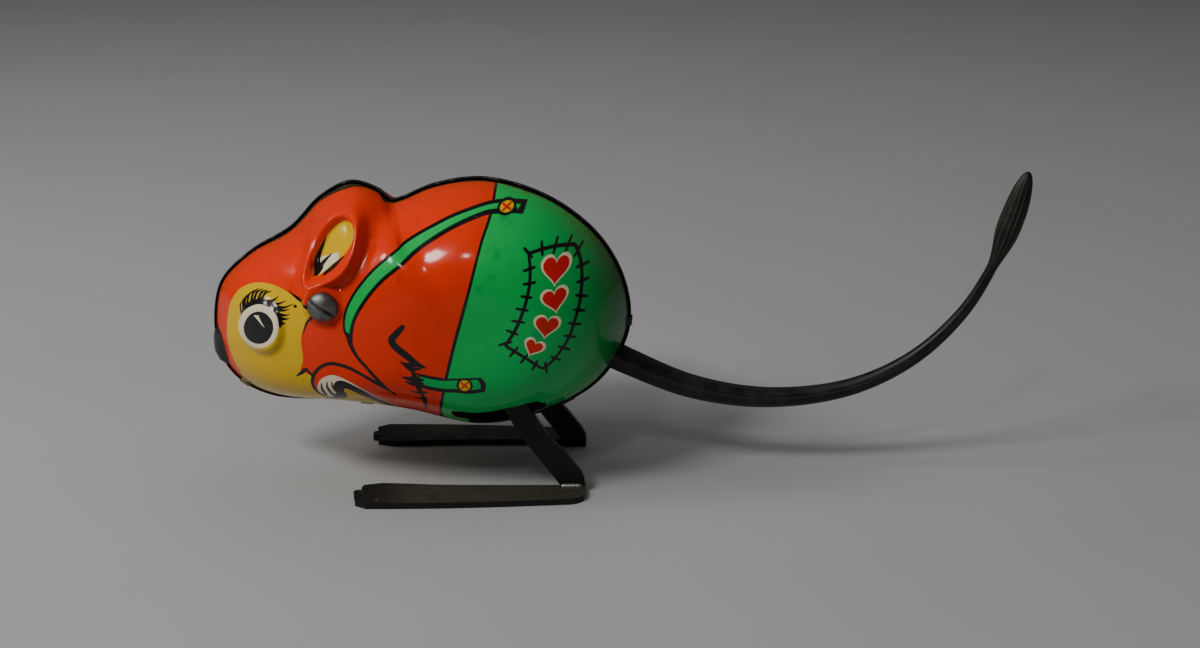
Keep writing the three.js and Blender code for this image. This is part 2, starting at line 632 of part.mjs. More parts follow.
// The long screw clamps the half shells onto spacers and the motor plates.
const screwHead = slottedScrew(2.6, 1.8, 1.5, 2 * screwSeatY - 0.1);
const screwPlace = [SCREW_AXIS.x, SCREW_AXIS.z];
add(toy, "shell_screw", screwHead, brightSteel, ...screwPlace).position.y = -screwSeatY - 0.1;
add(toy, "shell_nut", domedNut(2.6, 1.8, 1.6), brightSteel, ...screwPlace).position.y = screwSeatY + 0.1;
const spacerEnd = screwSeatY - TIN - 0.1;
const plateOuter = FRAME_FACE + PLATE + 0.1;
add(toy, "left_spacer", tube(2.4, 1.65, -spacerEnd, -plateOuter, 16), brightSteel, ...screwPlace);
add(toy, "middle_spacer", tube(2.4, 1.65, -FRAME_FACE + 0.1, FRAME_FACE - 0.1, 16), brightSteel, ...screwPlace);
add(toy, "right_spacer", tube(2.4, 1.65, plateOuter, spacerEnd, 16), brightSteel, ...screwPlace);

// Motor frame.
for (const [name, side] of Object.entries(sides)) {
  add(toy, `${name}_frame_plate`, framePlate(side), brightSteel);
}
for (const [name, at] of Object.entries(PILLARS)) {
  add(toy, `${name}_pillar`, pillar(), brightSteel, at.x, at.z);
}
const bushProfile = [[1.7, 16.3], [2.6, 16.3], [2.6, 17.9], [3.6, 17.9], [3.6, 18.9], [1.7, 18.9], [1.7, 16.3]];
add(toy, "arbor_bush", turned(bushProfile), brass, WINDING_AXIS.x, WINDING_AXIS.z);
add(toy, "click_stud", platedStud(8.9, 9.4), brightSteel, CLICK_AXIS.x, CLICK_AXIS.z);
add(toy, "click_spring", clickSpring(), springSteel);

// Spring barrel with the great wheel.
const barrel = new THREE.Group();
barrel.position.set(WINDING_AXIS.x, 0, WINDING_AXIS.z);
toy.add(barrel);
const drum = BARREL.radius;
const cup = [
  [drum - 0.6, -5], [drum, -5], [drum, 1.7], [1.7, 1.7], [1.7, 1.1], [drum - 0.6, 1.1], [drum - 0.6, -5],
];
add(barrel, "spring_barrel", turned(cup, 32), brightSteel);
add(barrel, "barrel_cover", tube(drum, 1.7, -5.7, -5.1, 32), brightSteel);
add(barrel, "barrel_gear", plate(gearShape(BARREL_TEETH, TOWARDS_SECOND, 1.7), ...GEAR_Y.barrel), brass);
const mainspring = stripShape(spiralLine(3.4, drum - 1.1, 4.25), 0.35);
add(barrel, "mainspring", plate(mainspring, -4.6, 0.6), springSteel);

// Winding arbor, which the key and the ratchet wheel turn with.
const winding = new THREE.Group();
winding.position.set(WINDING_AXIS.x, 0, WINDING_AXIS.z);
toy.add(winding);
add(winding, "winding_arbor", windingArbor(), brightSteel);
add(winding, "winding_key", windingKey(), brightSteel).rotation.y = KEY_TILT;
winding.getObjectByName("winding_arbor").rotation.y = KEY_TILT;
const firstTooth = CATCH_ANGLE + THREE.MathUtils.degToRad(2.5);
const ratchet = sawShape(RATCHET_TEETH, RATCHET.low, RATCHET.high, 2, firstTooth, 1.6);
add(winding, "ratchet_wheel", plate(ratchet, ...RATCHET.y), brightSteel);

add(toy, "click", plate(clickShape(), ...RATCHET.y), brightSteel, CLICK_AXIS.x, CLICK_AXIS.z);

// Second arbor.
const second = new THREE.Group();
second.position.set(SECOND_AXIS.x, 0, SECOND_AXIS.z);
toy.add(second);
const secondPinion = gearShape(PINION_TEETH, TOWARDS_SECOND + Math.PI + halfTooth, ARBOR_RADIUS + 0.05);
add(second, "second_arbor", arbor(ARBOR_RADIUS), brightSteel);
add(second, "second_pinion", plate(secondPinion, ...GEAR_Y.secondPinion), brass);
const secondWheel = gearShape(SECOND_TEETH, TOWARDS_CAM, ARBOR_RADIUS + 0.05);
add(second, "second_wheel", plate(secondWheel, ...GEAR_Y.second), brass);

// Cam arbor.
const camGroup = new THREE.Group();
camGroup.position.set(CAM_AXIS.x, 0, CAM_AXIS.z);
toy.add(camGroup);
const camPinion = gearShape(PINION_TEETH, TOWARDS_CAM + Math.PI + halfTooth, ARBOR_RADIUS + 0.05);
const camShape = sawShape(CAM.lobes, CAM.low, CAM.radius, 6, 0, ARBOR_RADIUS + 0.05);
add(camGroup, "cam_arbor", arbor(ARBOR_RADIUS), brightSteel);
add(camGroup, "cam_pinion", plate(camPinion, ...GEAR_Y.camPinion), brass);
add(camGroup, "kick_cam", plate(camShape, ...CAM.y), brightSteel);

// Legs on their shaft, with the lever that the cam pushes.
const legs = new THREE.Group();
legs.position.set(LEG_AXIS.x, 0, LEG_AXIS.z);
toy.add(legs);
add(legs, "leg_shaft", legShaft(), brightSteel);
for (const [name, side] of Object.entries(sides)) {
  const y = [side * (FRAME_FACE + PLATE + 0.1), side * (LEG_FACE - 0.1)];
  add(legs, `${name}_leg`, leg(side), brownedSteel);
  add(legs, `${name}_leg_washer`, tube(2.6, 1.6, Math.min(...y), Math.max(...y), 16), brightSteel);
}
add(legs, "kick_lever", plate(kickLeverShape(), ...CAM.y), brightSteel);
add(legs, "leg_spring", legSpring(), springSteel);

// The origin goes to the table, under the middle of the bounding box.
const bounds = new THREE.Box3().setFromObject(toy);
const middle = bounds.getCenter(new THREE.Vector3());
toy.position.set(-middle.x, -middle.y, -bounds.min.z);

export default toy;
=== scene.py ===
import json
import math
import random

import bmesh
import bpy
import numpy as np
from mathutils import Matrix, Vector
from mathutils.geometry import delaunay_2d_cdt, tessellate_polygon

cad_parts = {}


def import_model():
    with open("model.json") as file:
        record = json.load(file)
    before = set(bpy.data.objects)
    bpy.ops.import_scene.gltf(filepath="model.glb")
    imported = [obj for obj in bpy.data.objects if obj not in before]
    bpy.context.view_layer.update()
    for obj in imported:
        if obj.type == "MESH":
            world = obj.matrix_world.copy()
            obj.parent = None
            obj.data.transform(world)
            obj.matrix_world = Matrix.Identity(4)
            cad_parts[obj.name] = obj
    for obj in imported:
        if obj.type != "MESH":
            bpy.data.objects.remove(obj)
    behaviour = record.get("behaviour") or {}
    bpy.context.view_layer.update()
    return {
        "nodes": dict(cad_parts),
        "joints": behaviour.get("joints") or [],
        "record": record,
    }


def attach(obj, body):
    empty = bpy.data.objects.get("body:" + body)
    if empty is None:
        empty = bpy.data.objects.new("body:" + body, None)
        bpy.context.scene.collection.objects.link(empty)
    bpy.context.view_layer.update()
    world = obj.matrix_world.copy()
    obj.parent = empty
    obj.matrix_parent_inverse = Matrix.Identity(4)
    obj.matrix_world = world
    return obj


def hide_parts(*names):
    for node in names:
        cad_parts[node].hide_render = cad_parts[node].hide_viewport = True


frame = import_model()
joints = {j["name"]: j for j in frame["joints"]}

LEG_AXIS = np.array([-19.5, 0.0, 26.5])
ORIGIN = np.array(joints["leg_kick"]["pos_m"]) * 1000 - LEG_AXIS


def world(points):
    """Metres in the row frame from millimetres in the drawing frame."""
    return (np.asarray(points, float) + ORIGIN) / 1000


def link(name, data):
    """An object of the scene that holds this data."""
    obj = bpy.data.objects.new(name, data)
    scene.collection.objects.link(obj)
    return obj


# ------------------------------------------------------------------ camera and lights

CAMERA_AT = (0, -254.6, 123.9)
CAMERA_LOOKS_DOWN = 20.5  # degrees

scene = bpy.context.scene
camera = link("camera", bpy.data.cameras.new("camera"))
camera.location = world(CAMERA_AT)
camera.rotation_euler = (math.radians(90 - CAMERA_LOOKS_DOWN), 0, 0)
camera.data.sensor_width = 36
camera.data.lens = 45
camera.data.clip_start = 0.01
scene.camera = camera


SHOULDER = (-0.025, -0.015, 0.04)  # what the lamps point at, in metres
HEAD = (-0.045, -0.015, 0.045)
LAMP_WHITE = (1, 0.98, 0.95)


def area_light(name, at, towards, size, power, color=LAMP_WHITE):
    """A rectangular light. Its places and sizes are in metres."""
    light = bpy.data.lights.new(name, "AREA")
    light.shape = "RECTANGLE"
    light.size, light.size_y = size
    light.energy = power
    light.color = color
    obj = link(name, light)
    obj.location = at
    obj.rotation_euler = (Vector(towards) - Vector(at)).to_track_quat("-Z", "Y").to_euler()
    return obj


# The broad lights only shade; the lamps also make the highlights.
for broad in (
    area_light("window", (-0.56, -0.22, 0.47), (-0.02, 0, 0.03), (0.24, 0.24), 1.3, (1, 0.99, 0.97)),
    area_light("ceiling", (0.0, 0.20, 0.75), (0, 0, 0.02), (0.9, 0.6), 1.1, (1, 0.99, 0.98)),
):
    broad.visible_glossy = False
area_light("key_lamp", (-0.335, -0.27, 0.49), SHOULDER, (0.14, 0.12), 1.8)
area_light("right_lamp", (-0.11, -0.40, 0.503), SHOULDER, (0.055, 0.055), 0.28)
area_light("side_lamp", (-0.45, -0.05, 0.40), HEAD, (0.08, 0.08), 0.5)
sky = bpy.data.worlds.new("sky")
scene.world = sky
sky.use_nodes = True
background = sky.node_tree.nodes["Background"].inputs
background["Color"].default_value = (0.8, 0.82, 0.85, 1)
background["Strength"].default_value = 0.1


# ------------------------------------------------------------------ materials


class Paint:
    """A material's node tree, with short ways to add the usual nodes. Positions are in millimetres."""

    def __init__(self, name, roughness=0.4, metallic=0.0, **shader):
        self.material = bpy.data.materials.new(name)
        self.material.use_nodes = True
        self.tree = self.material.node_tree
        self.shader = self.tree.nodes["Principled BSDF"]
        for socket, value in {"Roughness": roughness, "Metallic": metallic, **shader}.items():
            self.shader.inputs[socket.replace("_", " ")].default_value = value
        place = self.math_vector("SCALE", self.node("ShaderNodeTexCoord").outputs["Object"], scale=1000)
        self.place = self.math_vector("SUBTRACT", place, tuple(ORIGIN))

    def put(self, socket, value):
        if isinstance(value, bpy.types.NodeSocket):
            self.tree.links.new(value, socket)
        elif isinstance(value, tuple) and len(value) == 3 and socket.type == "RGBA":
            socket.default_value = (*value, 1)
        else:
            socket.default_value = value

    def node(self, kind, sockets=(), **settings):
        """A node with these settings, and a value or a link for each (socket, value)."""
        made = self.tree.nodes.new(kind)
        for key, value in settings.items():
            setattr(made, key, value)
        for socket, value in sockets:
            self.put(made.inputs[socket], value)
        return made

    def math_vector(self, operation, a, b=(0, 0, 0), scale=1.0):
        return self.node("ShaderNodeVectorMath", ((0, a), (1, b), (3, scale)), operation=operation).outputs[0]

    def math(self, operation, a, b):
        return self.node("ShaderNodeMath", ((0, a), (1, b)), operation=operation).outputs[0]

    def times(self, a, b):
        return self.math("MULTIPLY", a, b)

    def plus(self, a, b):
        return self.math("ADD", a, b)

    def noise(self, per_mm, detail=4.0, roughness=0.55, stretch=(1, 1, 1), turn=(0, 0, 0)):
        sockets = (("Vector", self.place), ("Rotation", turn), ("Scale", stretch))
        place = self.node("ShaderNodeMapping", sockets).outputs[0]
        sockets = (("Vector", place), ("Scale", per_mm), ("Detail", detail), ("Roughness", roughness))
        return self.node("ShaderNodeTexNoise", sockets).outputs["Fac"]

    def step(self, value, low, high, out_low=0.0, out_high=1.0):
        names = ("Value", "From Min", "From Max", "To Min", "To Max")
        sockets = zip(names, (value, low, high, out_low, out_high))
        return self.node("ShaderNodeMapRange", sockets, interpolation_type="SMOOTHSTEP").outputs[0]

    def mix(self, share, a, b):
        sockets = (("Factor", share), ("A", a), ("B", b))
        return self.node("ShaderNodeMix", sockets, data_type="RGBA").outputs["Result"]

    def attribute(self, name):
        return self.node("ShaderNodeAttribute", attribute_name=name).outputs["Fac"]

    def axis(self, which):
        return self.node("ShaderNodeSeparateXYZ", ((0, self.place),)).outputs[which]

    def finish(self, color, roughness=None, metallic=None, height=None, bump=0.1, reach=0.05):
        sockets = {"Base Color": color, "Roughness": roughness, "Metallic": metallic}
        for socket, value in sockets.items():
            if value is not None:
                self.put(self.shader.inputs[socket], value)
        if height is not None:
            made = self.node("ShaderNodeBump", (("Strength", bump), ("Distance", reach / 1000),
                ("Height", height)))
            self.put(self.shader.inputs["Normal"], made.outputs[0])
        return self.material


RUST = (0.10, 0.045, 0.022)
BARE_TIN = (0.28, 0.27, 0.25)


def ink(name, color, faded, painted_shade=None):
    """Printing ink under old varnish on tin: uneven, scratched, and grimy and rusted towards the seam, and,
    where asked, darkened along x as painted shade.
    """
    p = Paint(name, 0.25, 0.0, Specular_IOR_Level=0.15, Coat_Weight=0.4, Coat_Roughness=0.1)
    broad, fine = p.noise(0.07, 5), p.noise(5.0, 3)
    cloudy = p.noise(0.45, 6, 0.65)
    base = p.mix(p.step(broad, 0.35, 0.75, 0, 0.45), color, faded)
    # Painted shade: the colour darkens along x towards the rump's rear end, standing in for the side turned
    # away from the light.
    if painted_shade:
        dark, start, end = painted_shade
        base = p.mix(p.step(p.axis(0), start, end, 0, 0.85), base, dark)
    specks = p.times(p.step(fine, 0.66, 0.74), p.step(cloudy, 0.5, 0.66))
    base = p.mix(p.times(specks, 0.55), base, (0.045, 0.03, 0.02))
    rim = p.attribute("rim")
    mottle = p.step(p.noise(1.7, 8, 0.75), 0.44, 0.6)
    grime = p.times(rim, p.times(mottle, p.step(cloudy, 0.3, 0.55)))
    dull = p.times(rim, p.step(p.noise(0.8, 6, 0.7), 0.25, 0.6))
    base = p.mix(p.times(dull, 0.6), base, (0.10, 0.07, 0.025))
    base = p.mix(p.times(grime, 0.9), base, RUST)
    smudge = p.times(p.step(p.noise(0.22, 4), 0.6, 0.74), 0.3)
    base = p.mix(smudge, base, tuple(c * 0.35 for c in faded))
    lines = p.noise(0.9, 2, 0.5, stretch=(1, 1, 16), turn=(0, 0.45, 0))
    crossing = p.noise(0.8, 2, 0.5, stretch=(14, 1, 1), turn=(0, 0.3, 0))
    scratched = p.math("MAXIMUM", p.step(lines, 0.715, 0.735), p.step(crossing, 0.72, 0.74))
    scratched = p.times(scratched, p.step(broad, 0.48, 0.6))
    chips = p.times(p.step(p.noise(1.6, 6, 0.7), 0.66, 0.69), p.step(rim, 0.25, 0.8))
    bare = p.math("MAXIMUM", p.times(scratched, 0.4), chips)
    base = p.mix(bare, base, BARE_TIN)
    rough = p.plus(p.step(cloudy, 0.3, 0.8, 0.16, 0.34), p.times(grime, 0.35))
    height = p.math("SUBTRACT", p.times(p.noise(0.25, 3), 0.6), p.times(bare, 0.4))
    return p.finish(base, rough, p.times(chips, 0.7), height, 0.25, 0.12)


def worn_black_rim():
    """The rolled edge: black enamel worn through to tin and rust, red or bare under the chin and belly."""
    p = Paint("seam_bead", 0.4, 0.0, Specular_IOR_Level=0.35)
    wear = p.step(p.noise(0.5, 6, 0.7), 0.5, 0.6)
    rusty = p.step(p.noise(0.9, 5, 0.6), 0.45, 0.6)
    under = p.mix(rusty, (0.22, 0.21, 0.19), (0.09, 0.055, 0.035))
    below = p.times(p.step(p.axis(2), 22.5, 20.0), p.step(p.axis(0), -24.0, -28.0))
    bare = p.mix(p.step(p.noise(0.8, 5, 0.6), 0.4, 0.6), (0.30, 0.22, 0.10), (0.11, 0.06, 0.03))
    bare = p.mix(p.step(p.axis(0), -65.5, -66.8), bare, (0.42, 0.03, 0.012))
    color = p.mix(p.times(wear, 0.6), (0.008, 0.008, 0.009), under)
    color = p.mix(below, color, bare)
    rough = p.step(wear, 0, 1, 0.3, 0.55)
    return p.finish(color, rough, p.times(wear, 0.4), p.noise(3, 4), 0.3, 0.05)


def inside_tin():
    p = Paint("inside_tin", 0.45, 0.8)
    color = p.mix(p.step(p.noise(0.3, 5), 0.4, 0.7), (0.3, 0.29, 0.26), (0.16, 0.12, 0.08))
    return p.finish(color, p.step(p.noise(0.8, 4), 0.3, 0.7, 0.35, 0.6), None, p.noise(2, 3), 0.1, 0.05)


def steel(name, color, dirty, low=0.28, high=0.5, turn=(0, 0, 0), rust=0.35):
    p = Paint(name, 0.35, 1.0)
    grain = p.noise(1.2, 3, 0.6, stretch=(1, 1, 22), turn=turn)
    blotch = p.noise(0.35, 6, 0.65)
    base = p.mix(p.step(grain, 0.35, 0.7), color, tuple(c * 0.72 for c in color))
    base = p.mix(p.step(blotch, 0.45, 0.7), base, dirty)
    spots = p.step(p.noise(1.1, 6, 0.7), 0.62, 0.7)
    base = p.mix(p.times(spots, rust), base, (0.12, 0.06, 0.03))
    metal = p.step(spots, 0, 1, 1.0, 1 - rust)
    rough = p.plus(p.step(blotch, 0.3, 0.75, low, high), p.times(grain, 0.08))
    return p.finish(base, rough, metal, p.plus(grain, p.times(spots, -0.5)), 0.15, 0.03)


def leg_finish():
    """Blackened steel, browner and nicked on the foot's top behind the toes, and ridged at the toes."""
    p = Paint("leg_steel", 0.45, 0.2, Specular_IOR_Level=0.3)
    cloudy, fine = p.noise(0.35, 6, 0.65), p.noise(4, 4, 0.6)
    black = p.mix(p.step(fine, 0.4, 0.7), (0.007, 0.007, 0.0068), (0.018, 0.0175, 0.016))
    brown = p.mix(p.step(cloudy, 0.35, 0.7), (0.062, 0.054, 0.038), (0.030, 0.027, 0.020))
    normal = p.node("ShaderNodeSeparateXYZ")
    p.put(normal.inputs[0], p.node("ShaderNodeNewGeometry").outputs["Normal"])
    facing_up = p.step(normal.outputs[2], 0.6, 0.9)
    behind_toes = p.step(p.plus(p.axis(0), p.times(cloudy, 10)), -37.0, -26.0)
    # Faces that look up are made brown behind the toes, in cloudy patches.
    brown_on_top = p.times(facing_up, behind_toes)
    base = p.mix(p.times(brown_on_top, p.step(cloudy, 0.2, 0.6, 0.45, 1.0)), black, brown)
    streaks = p.noise(1.0, 3, 0.5, stretch=(0.12, 2.6, 1))
    toes = p.times(facing_up, p.step(p.axis(0), -37.5, -42.0))
    nicks = p.times(p.step(p.noise(1.2, 5, 0.7), 0.63, 0.67), facing_up)
    base = p.mix(p.times(nicks, 0.6), base, (0.2, 0.18, 0.13))
    rough = p.step(cloudy, 0.3, 0.7, 0.36, 0.6)
    height = p.plus(p.times(p.step(streaks, 0.4, 0.6), p.times(toes, 4.0)), fine)
    return p.finish(base, rough, 0.15, height, 0.35, 0.08)


def tail_finish():
    p = Paint("tail_rubber", 0.5, 0.0, Specular_IOR_Level=0.3)
    cloudy, fine = p.noise(0.3, 6, 0.65), p.noise(3.5, 5, 0.6)
    base = p.mix(p.step(cloudy, 0.35, 0.7), (0.006, 0.0058, 0.0055), (0.017, 0.0155, 0.014))
    dust = p.times(p.step(fine, 0.5, 0.75), p.step(cloudy, 0.4, 0.75))
    base = p.mix(p.times(dust, 0.4), base, (0.07, 0.06, 0.05))
    # The raised ridges between the grooves are painted lighter: partly scuffed, dusty rubber, and partly
    # painted highlight on the ridges.
    ridge_scuffs_and_highlights = p.attribute("ridge_scuff_and_highlight")
    base = p.mix(p.times(ridge_scuffs_and_highlights, 0.55), base, (0.10, 0.085, 0.065))
    return p.finish(base, p.step(cloudy, 0.3, 0.75, 0.34, 0.52), None, p.plus(fine, cloudy), 0.18, 0.08)


def nose_finish():
    p = Paint("nose_black", 0.3, 0.0, Coat_Weight=0.3, Coat_Roughness=0.15)
    cloudy = p.noise(0.8, 6, 0.65)
    base = p.mix(p.step(cloudy, 0.45, 0.7), (0.01, 0.01, 0.011), (0.035, 0.033, 0.032))
    nicks = p.step(p.noise(1.5, 6, 0.7), 0.66, 0.7)
    base = p.mix(p.times(nicks, 0.5), base, (0.2, 0.18, 0.16))
    return p.finish(base, p.step(cloudy, 0.3, 0.7, 0.22, 0.5), None, p.noise(2.5, 4), 0.15, 0.05)


INKS = {
    "orange": ink("ink_orange", (0.73, 0.025, 0.0), (0.63, 0.03, 0.001)),
    # The green gets painted shade, darker towards the rump's rear end.
    "green": ink("ink_green", (0.0, 0.44, 0.08), (0.002, 0.36, 0.07), ((0.001, 0.06, 0.012), -6, 7)),
    "yellow": ink("ink_yellow", (0.66, 0.415, 0.0), (0.57, 0.34, 0.0)),
    "black": ink("ink_black", (0.006, 0.006, 0.007), (0.012, 0.011, 0.011)),
    "cream": ink("ink_cream", (0.80, 0.72, 0.5), (0.66, 0.55, 0.33)),
    "red": ink("ink_red", (0.62, 0.012, 0.004), (0.50, 0.02, 0.01)),
}
RIM, INSIDE = worn_black_rim(), inside_tin()
SHELL_MATERIALS = [*INKS.values(), RIM, INSIDE]
INK_INDEX = {name: i for i, name in enumerate(INKS)}


# ------------------------------------------------------------------ curves in the flat


def smooth(points, step=0.3, closed=False):
    """A centripetal Catmull-Rom curve through the points, sampled about every step millimetres."""
    p = [np.array(q, float) for q in points]
    ends = (p[-1], p[0], p[1]) if closed else (2 * p[0] - p[1], 2 * p[-1] - p[-2], 3 * p[-1] - 2 * p[-2])
    p = [ends[0], *p, ends[1], ends[2]]
    out = []
    for i in range(1, len(p) - (2 if closed else 3)):
        p0, p1, p2, p3 = p[i - 1 : i + 3]
        d0, d1, d2 = (max(1e-6, np.linalg.norm(b - a)) ** 0.5 for a, b in ((p0, p1), (p1, p2), (p2, p3)))
        t1 = ((p1 - p0) / d0 - (p2 - p0) / (d0 + d1) + (p2 - p1) / d1) * d1
        t2 = ((p2 - p1) / d1 - (p3 - p1) / (d1 + d2) + (p3 - p2) / d2) * d1
        count = max(2, int(np.linalg.norm(p2 - p1) / step))
        for t in np.arange(count) / count:
            out.append(p1 + t1 * t + (3 * (p2 - p1) - 2 * t1 - t2) * t**2 + (2 * (p1 - p2) + t1 + t2) * t**3)
    if not closed:
        out.append(p[-3])
    return np.array(out)


def resample(curve, count, closed=False):
    """Points at even distances along a curve."""
    line = np.vstack([curve, curve[:1]]) if closed else curve
    length = np.concatenate([[0], np.cumsum(np.linalg.norm(np.diff(line, axis=0), axis=1))])
    at = np.linspace(0, length[-1], count + closed)[:count]
    return np.stack([np.interp(at, length, line[:, k]) for k in range(line.shape[1])], 1)


def normals_of(curve, closed=False):
    """Unit normals to the right of the way along, so into the body for the seam outline."""
    along = np.roll(curve, -1, 0) - np.roll(curve, 1, 0)
    if not closed:
        along[0], along[-1] = curve[1] - curve[0], curve[-1] - curve[-2]
    along /= np.linalg.norm(along, axis=1)[:, None]
    return np.stack([along[:, 1], -along[:, 0]], 1)


def turns(count):
    """Even steps once round, in radians."""
    return np.linspace(0, 2 * np.pi, count, endpoint=False)


def circle(at, radius, count):
    t = turns(count)
    return at + radius * np.stack([np.cos(t), np.sin(t)], 1)


def step(low, high, value):
    """0 below low and 1 above high, with a smooth rise between."""
    t = np.clip((value - low) / (high - low), 0, 1)
    return t * t * (3 - 2 * t)


# ------------------------------------------------------------------ the shell's surface
# It follows the CAD model, apart from a fairer notch, a rounder ear rim and a fold behind the ear.

SEAM_POINTS = [(-69.8, 29), (-68, 37), (-62.5, 42.6), (-54.8, 47.3), (-49.2, 52.9), (-43.6, 55.6),
    (-38.7, 54.1), (-36.5, 52.3), (-34.8, 52.7), (-29, 55.1), (-20, 56.2), (-9, 52.8), (0, 45.6), (4.8, 36.5),
    (5.3, 27.5), (0, 17.9), (-10, 11.8), (-22, 9.2), (-36, 12.3), (-48, 13.9), (-60, 14.8), (-65.2, 17.3),
    (-68.2, 20.8), (-69.4, 25)]
MIDDLE = np.array([-22.0, 33.0])
SCREW = (-47.0, 37.6)
BEAD = 0.5
RIM_COUNT = 600  # points round the seam
FAIRING_STEPS, FAIRING_WIDTH = 30, 14  # half degrees on each side that the faired outline averages over
edge_line = resample(smooth(SEAM_POINTS, 0.1, True), RIM_COUNT, True)
edge_normals = normals_of(edge_line, True)
base_line = edge_line + BEAD * edge_normals

_from_middle = base_line - MIDDLE
_angles = np.arctan2(_from_middle[:, 1], _from_middle[:, 0])
_order = np.argsort(_angles)
_angles = _angles[_order]
_reach = np.hypot(*_from_middle.T)[_order]
_angles = np.concatenate([_angles[-9:] - 2 * np.pi, _angles, _angles[:9] + 2 * np.pi])
_reach = np.concatenate([_reach[-9:], _reach, _reach[:9]])
_turns = np.linspace(-np.pi, np.pi, 720, endpoint=False)
_window = np.exp(-((np.arange(-FAIRING_STEPS, FAIRING_STEPS + 1) / FAIRING_WIDTH) ** 2))
_even = np.interp(_turns, _angles, _reach)
_even = np.concatenate([_even[-FAIRING_STEPS:], _even, _even[:FAIRING_STEPS]])
_even = np.convolve(_even, _window / _window.sum(), "valid")


def share_of(x, z):
    """How far a point lies from the body's middle towards the seam."""
    dx, dz = x - MIDDLE[0], z - MIDDLE[1]
    return np.minimum(1, np.hypot(dx, dz) / np.interp(np.arctan2(dz, dx), _angles, _reach))


def fair_share(x, z):
    """The same with the notch behind the ear faired out, away from the seam."""
    dx, dz = x - MIDDLE[0], z - MIDDLE[1]
    share = share_of(x, z)
    even = np.hypot(dx, dz) / np.interp(np.arctan2(dz, dx), _turns, _even, period=2 * np.pi)
    near = step(0.55, 1.0, share)
    return np.clip(share * near + even * (1 - near), 0, 1)


BODY_HALF_WIDTH, SNOUT_NARROWING = 18, 2.5
SEAM_EDGE = 0.45  # the dome's distance from the seam plane at its edge


def half_width(x):
    return BODY_HALF_WIDTH - SNOUT_NARROWING * step(30, 60, -x)


def plain_dome(x, share):
    return SEAM_EDGE + (half_width(x) - SEAM_EDGE) * (1 - share**4)


EYE = (-59.3, 32.2)
EYE_AXIS = np.array([-0.25, -0.92, 0.3])
EYE_AXIS /= np.linalg.norm(EYE_AXIS)
EYE_DEPTH = plain_dome(EYE[0], 0.775)
EYE_RISE = 1.1
SCREW_SEAT = half_width(SCREW[0]) * 0.93
EAR = dict(x=-45.9, z=46.4, lean=math.radians(-35), long=5.2, short=2.3)
EAR_FOOT, EAR_HOLLOW = 1.7, 2.4  # how far the ear stands out, and how deep it is pressed in
EAR_RIM = dict(rise=1.25, at=1.65, width=0.95)  # the round rim, outside the hollow's outline


def ear_distance(x, z):
    """Distance outside the outline of the ear's hollow."""
    s, c = math.sin(EAR["lean"]), math.cos(EAR["lean"])
    along = -(x - EAR["x"]) * s + (z - EAR["z"]) * c
    across = (x - EAR["x"]) * c + (z - EAR["z"]) * s
    narrowing = 1.35 - 0.35 * step(-EAR["long"], EAR["long"], along)
    reach = np.maximum(0.01, np.hypot(along / EAR["long"], across * narrowing / EAR["short"]))
    return np.hypot(along, across) * (1 - 1 / reach)


VALLEY = np.array([(-36.4, 53.5), (-37.4, 50.4), (-39.0, 47.4), (-40.6, 44.6), (-42.2, 41.8)])
VALLEY_DEPTH, VALLEY_WIDTH = 2.7, 2.5


def valley(x, z):
    """The fold that runs down behind the ear from the notch, and fades out."""
    nearest, along = np.full(np.shape(x), 99.0), np.zeros(np.shape(x))
    for k, (a, b) in enumerate(zip(VALLEY[:-1], VALLEY[1:])):
        way = b - a
        t = np.clip(((x - a[0]) * way[0] + (z - a[1]) * way[1]) / (way @ way), 0, 1)
        off = np.hypot(x - a[0] - t * way[0], z - a[1] - t * way[1])
        along = np.where(off < nearest, k + t, along)
        nearest = np.minimum(nearest, off)
    return VALLEY_DEPTH * np.exp(-((nearest / VALLEY_WIDTH) ** 2)) * (1 - step(1.2, 4, along))


def depth(x, z):
    """The outer surface's distance from the seam plane."""
    x, z = np.asarray(x, float), np.asarray(z, float)
    share = fair_share(x, z)
    plain = plain_dome(x, share)
    off = np.stack([x - EYE[0], EYE_DEPTH - plain, z - EYE[1]], -1)
    off_axis = np.linalg.norm(np.cross(off, EYE_AXIS), axis=-1)
    eye = EYE_RISE * (1 - step(3.7, 5.8, off_axis))
    out = ear_distance(x, z)
    ear = EAR_FOOT * (1 - step(1.6, 4.0, out)) - EAR_HOLLOW * (1 - step(-1.0, 1.0, out))
    ear = ear + EAR_RIM["rise"] * np.exp(-(((out - EAR_RIM["at"]) / EAR_RIM["width"]) ** 2))
    pressed = plain + (eye + ear - valley(x, z)) * (1 - share**12)
    seat = 1 - step(3.0, 4.4, np.hypot(x - SCREW[0], z - SCREW[1]))
    return pressed + (SCREW_SEAT - pressed) * seat


def on_shell(flat, side):
    """Points and outward normals of one half shell, over x and z."""
    x, z = flat[:, 0], flat[:, 1]
    y = depth(x, z)
    h = 0.04
    toward = MIDDLE - flat
    toward /= np.maximum(1e-6, np.linalg.norm(toward, axis=1))[:, None]
    inner = flat + toward * h * 1.5
    dx = (depth(inner[:, 0] + h, inner[:, 1]) - depth(inner[:, 0] - h, inner[:, 1])) / (2 * h)
    dz = (depth(inner[:, 0], inner[:, 1] + h) - depth(inner[:, 0], inner[:, 1] - h)) / (2 * h)
    normals = np.stack([-dx, np.ones_like(dx) * side, -dz], 1)
    normals /= np.linalg.norm(normals, axis=1)[:, None]
    return np.stack([x, side * y, z], 1), normals


# ------------------------------------------------------------------ the printed picture


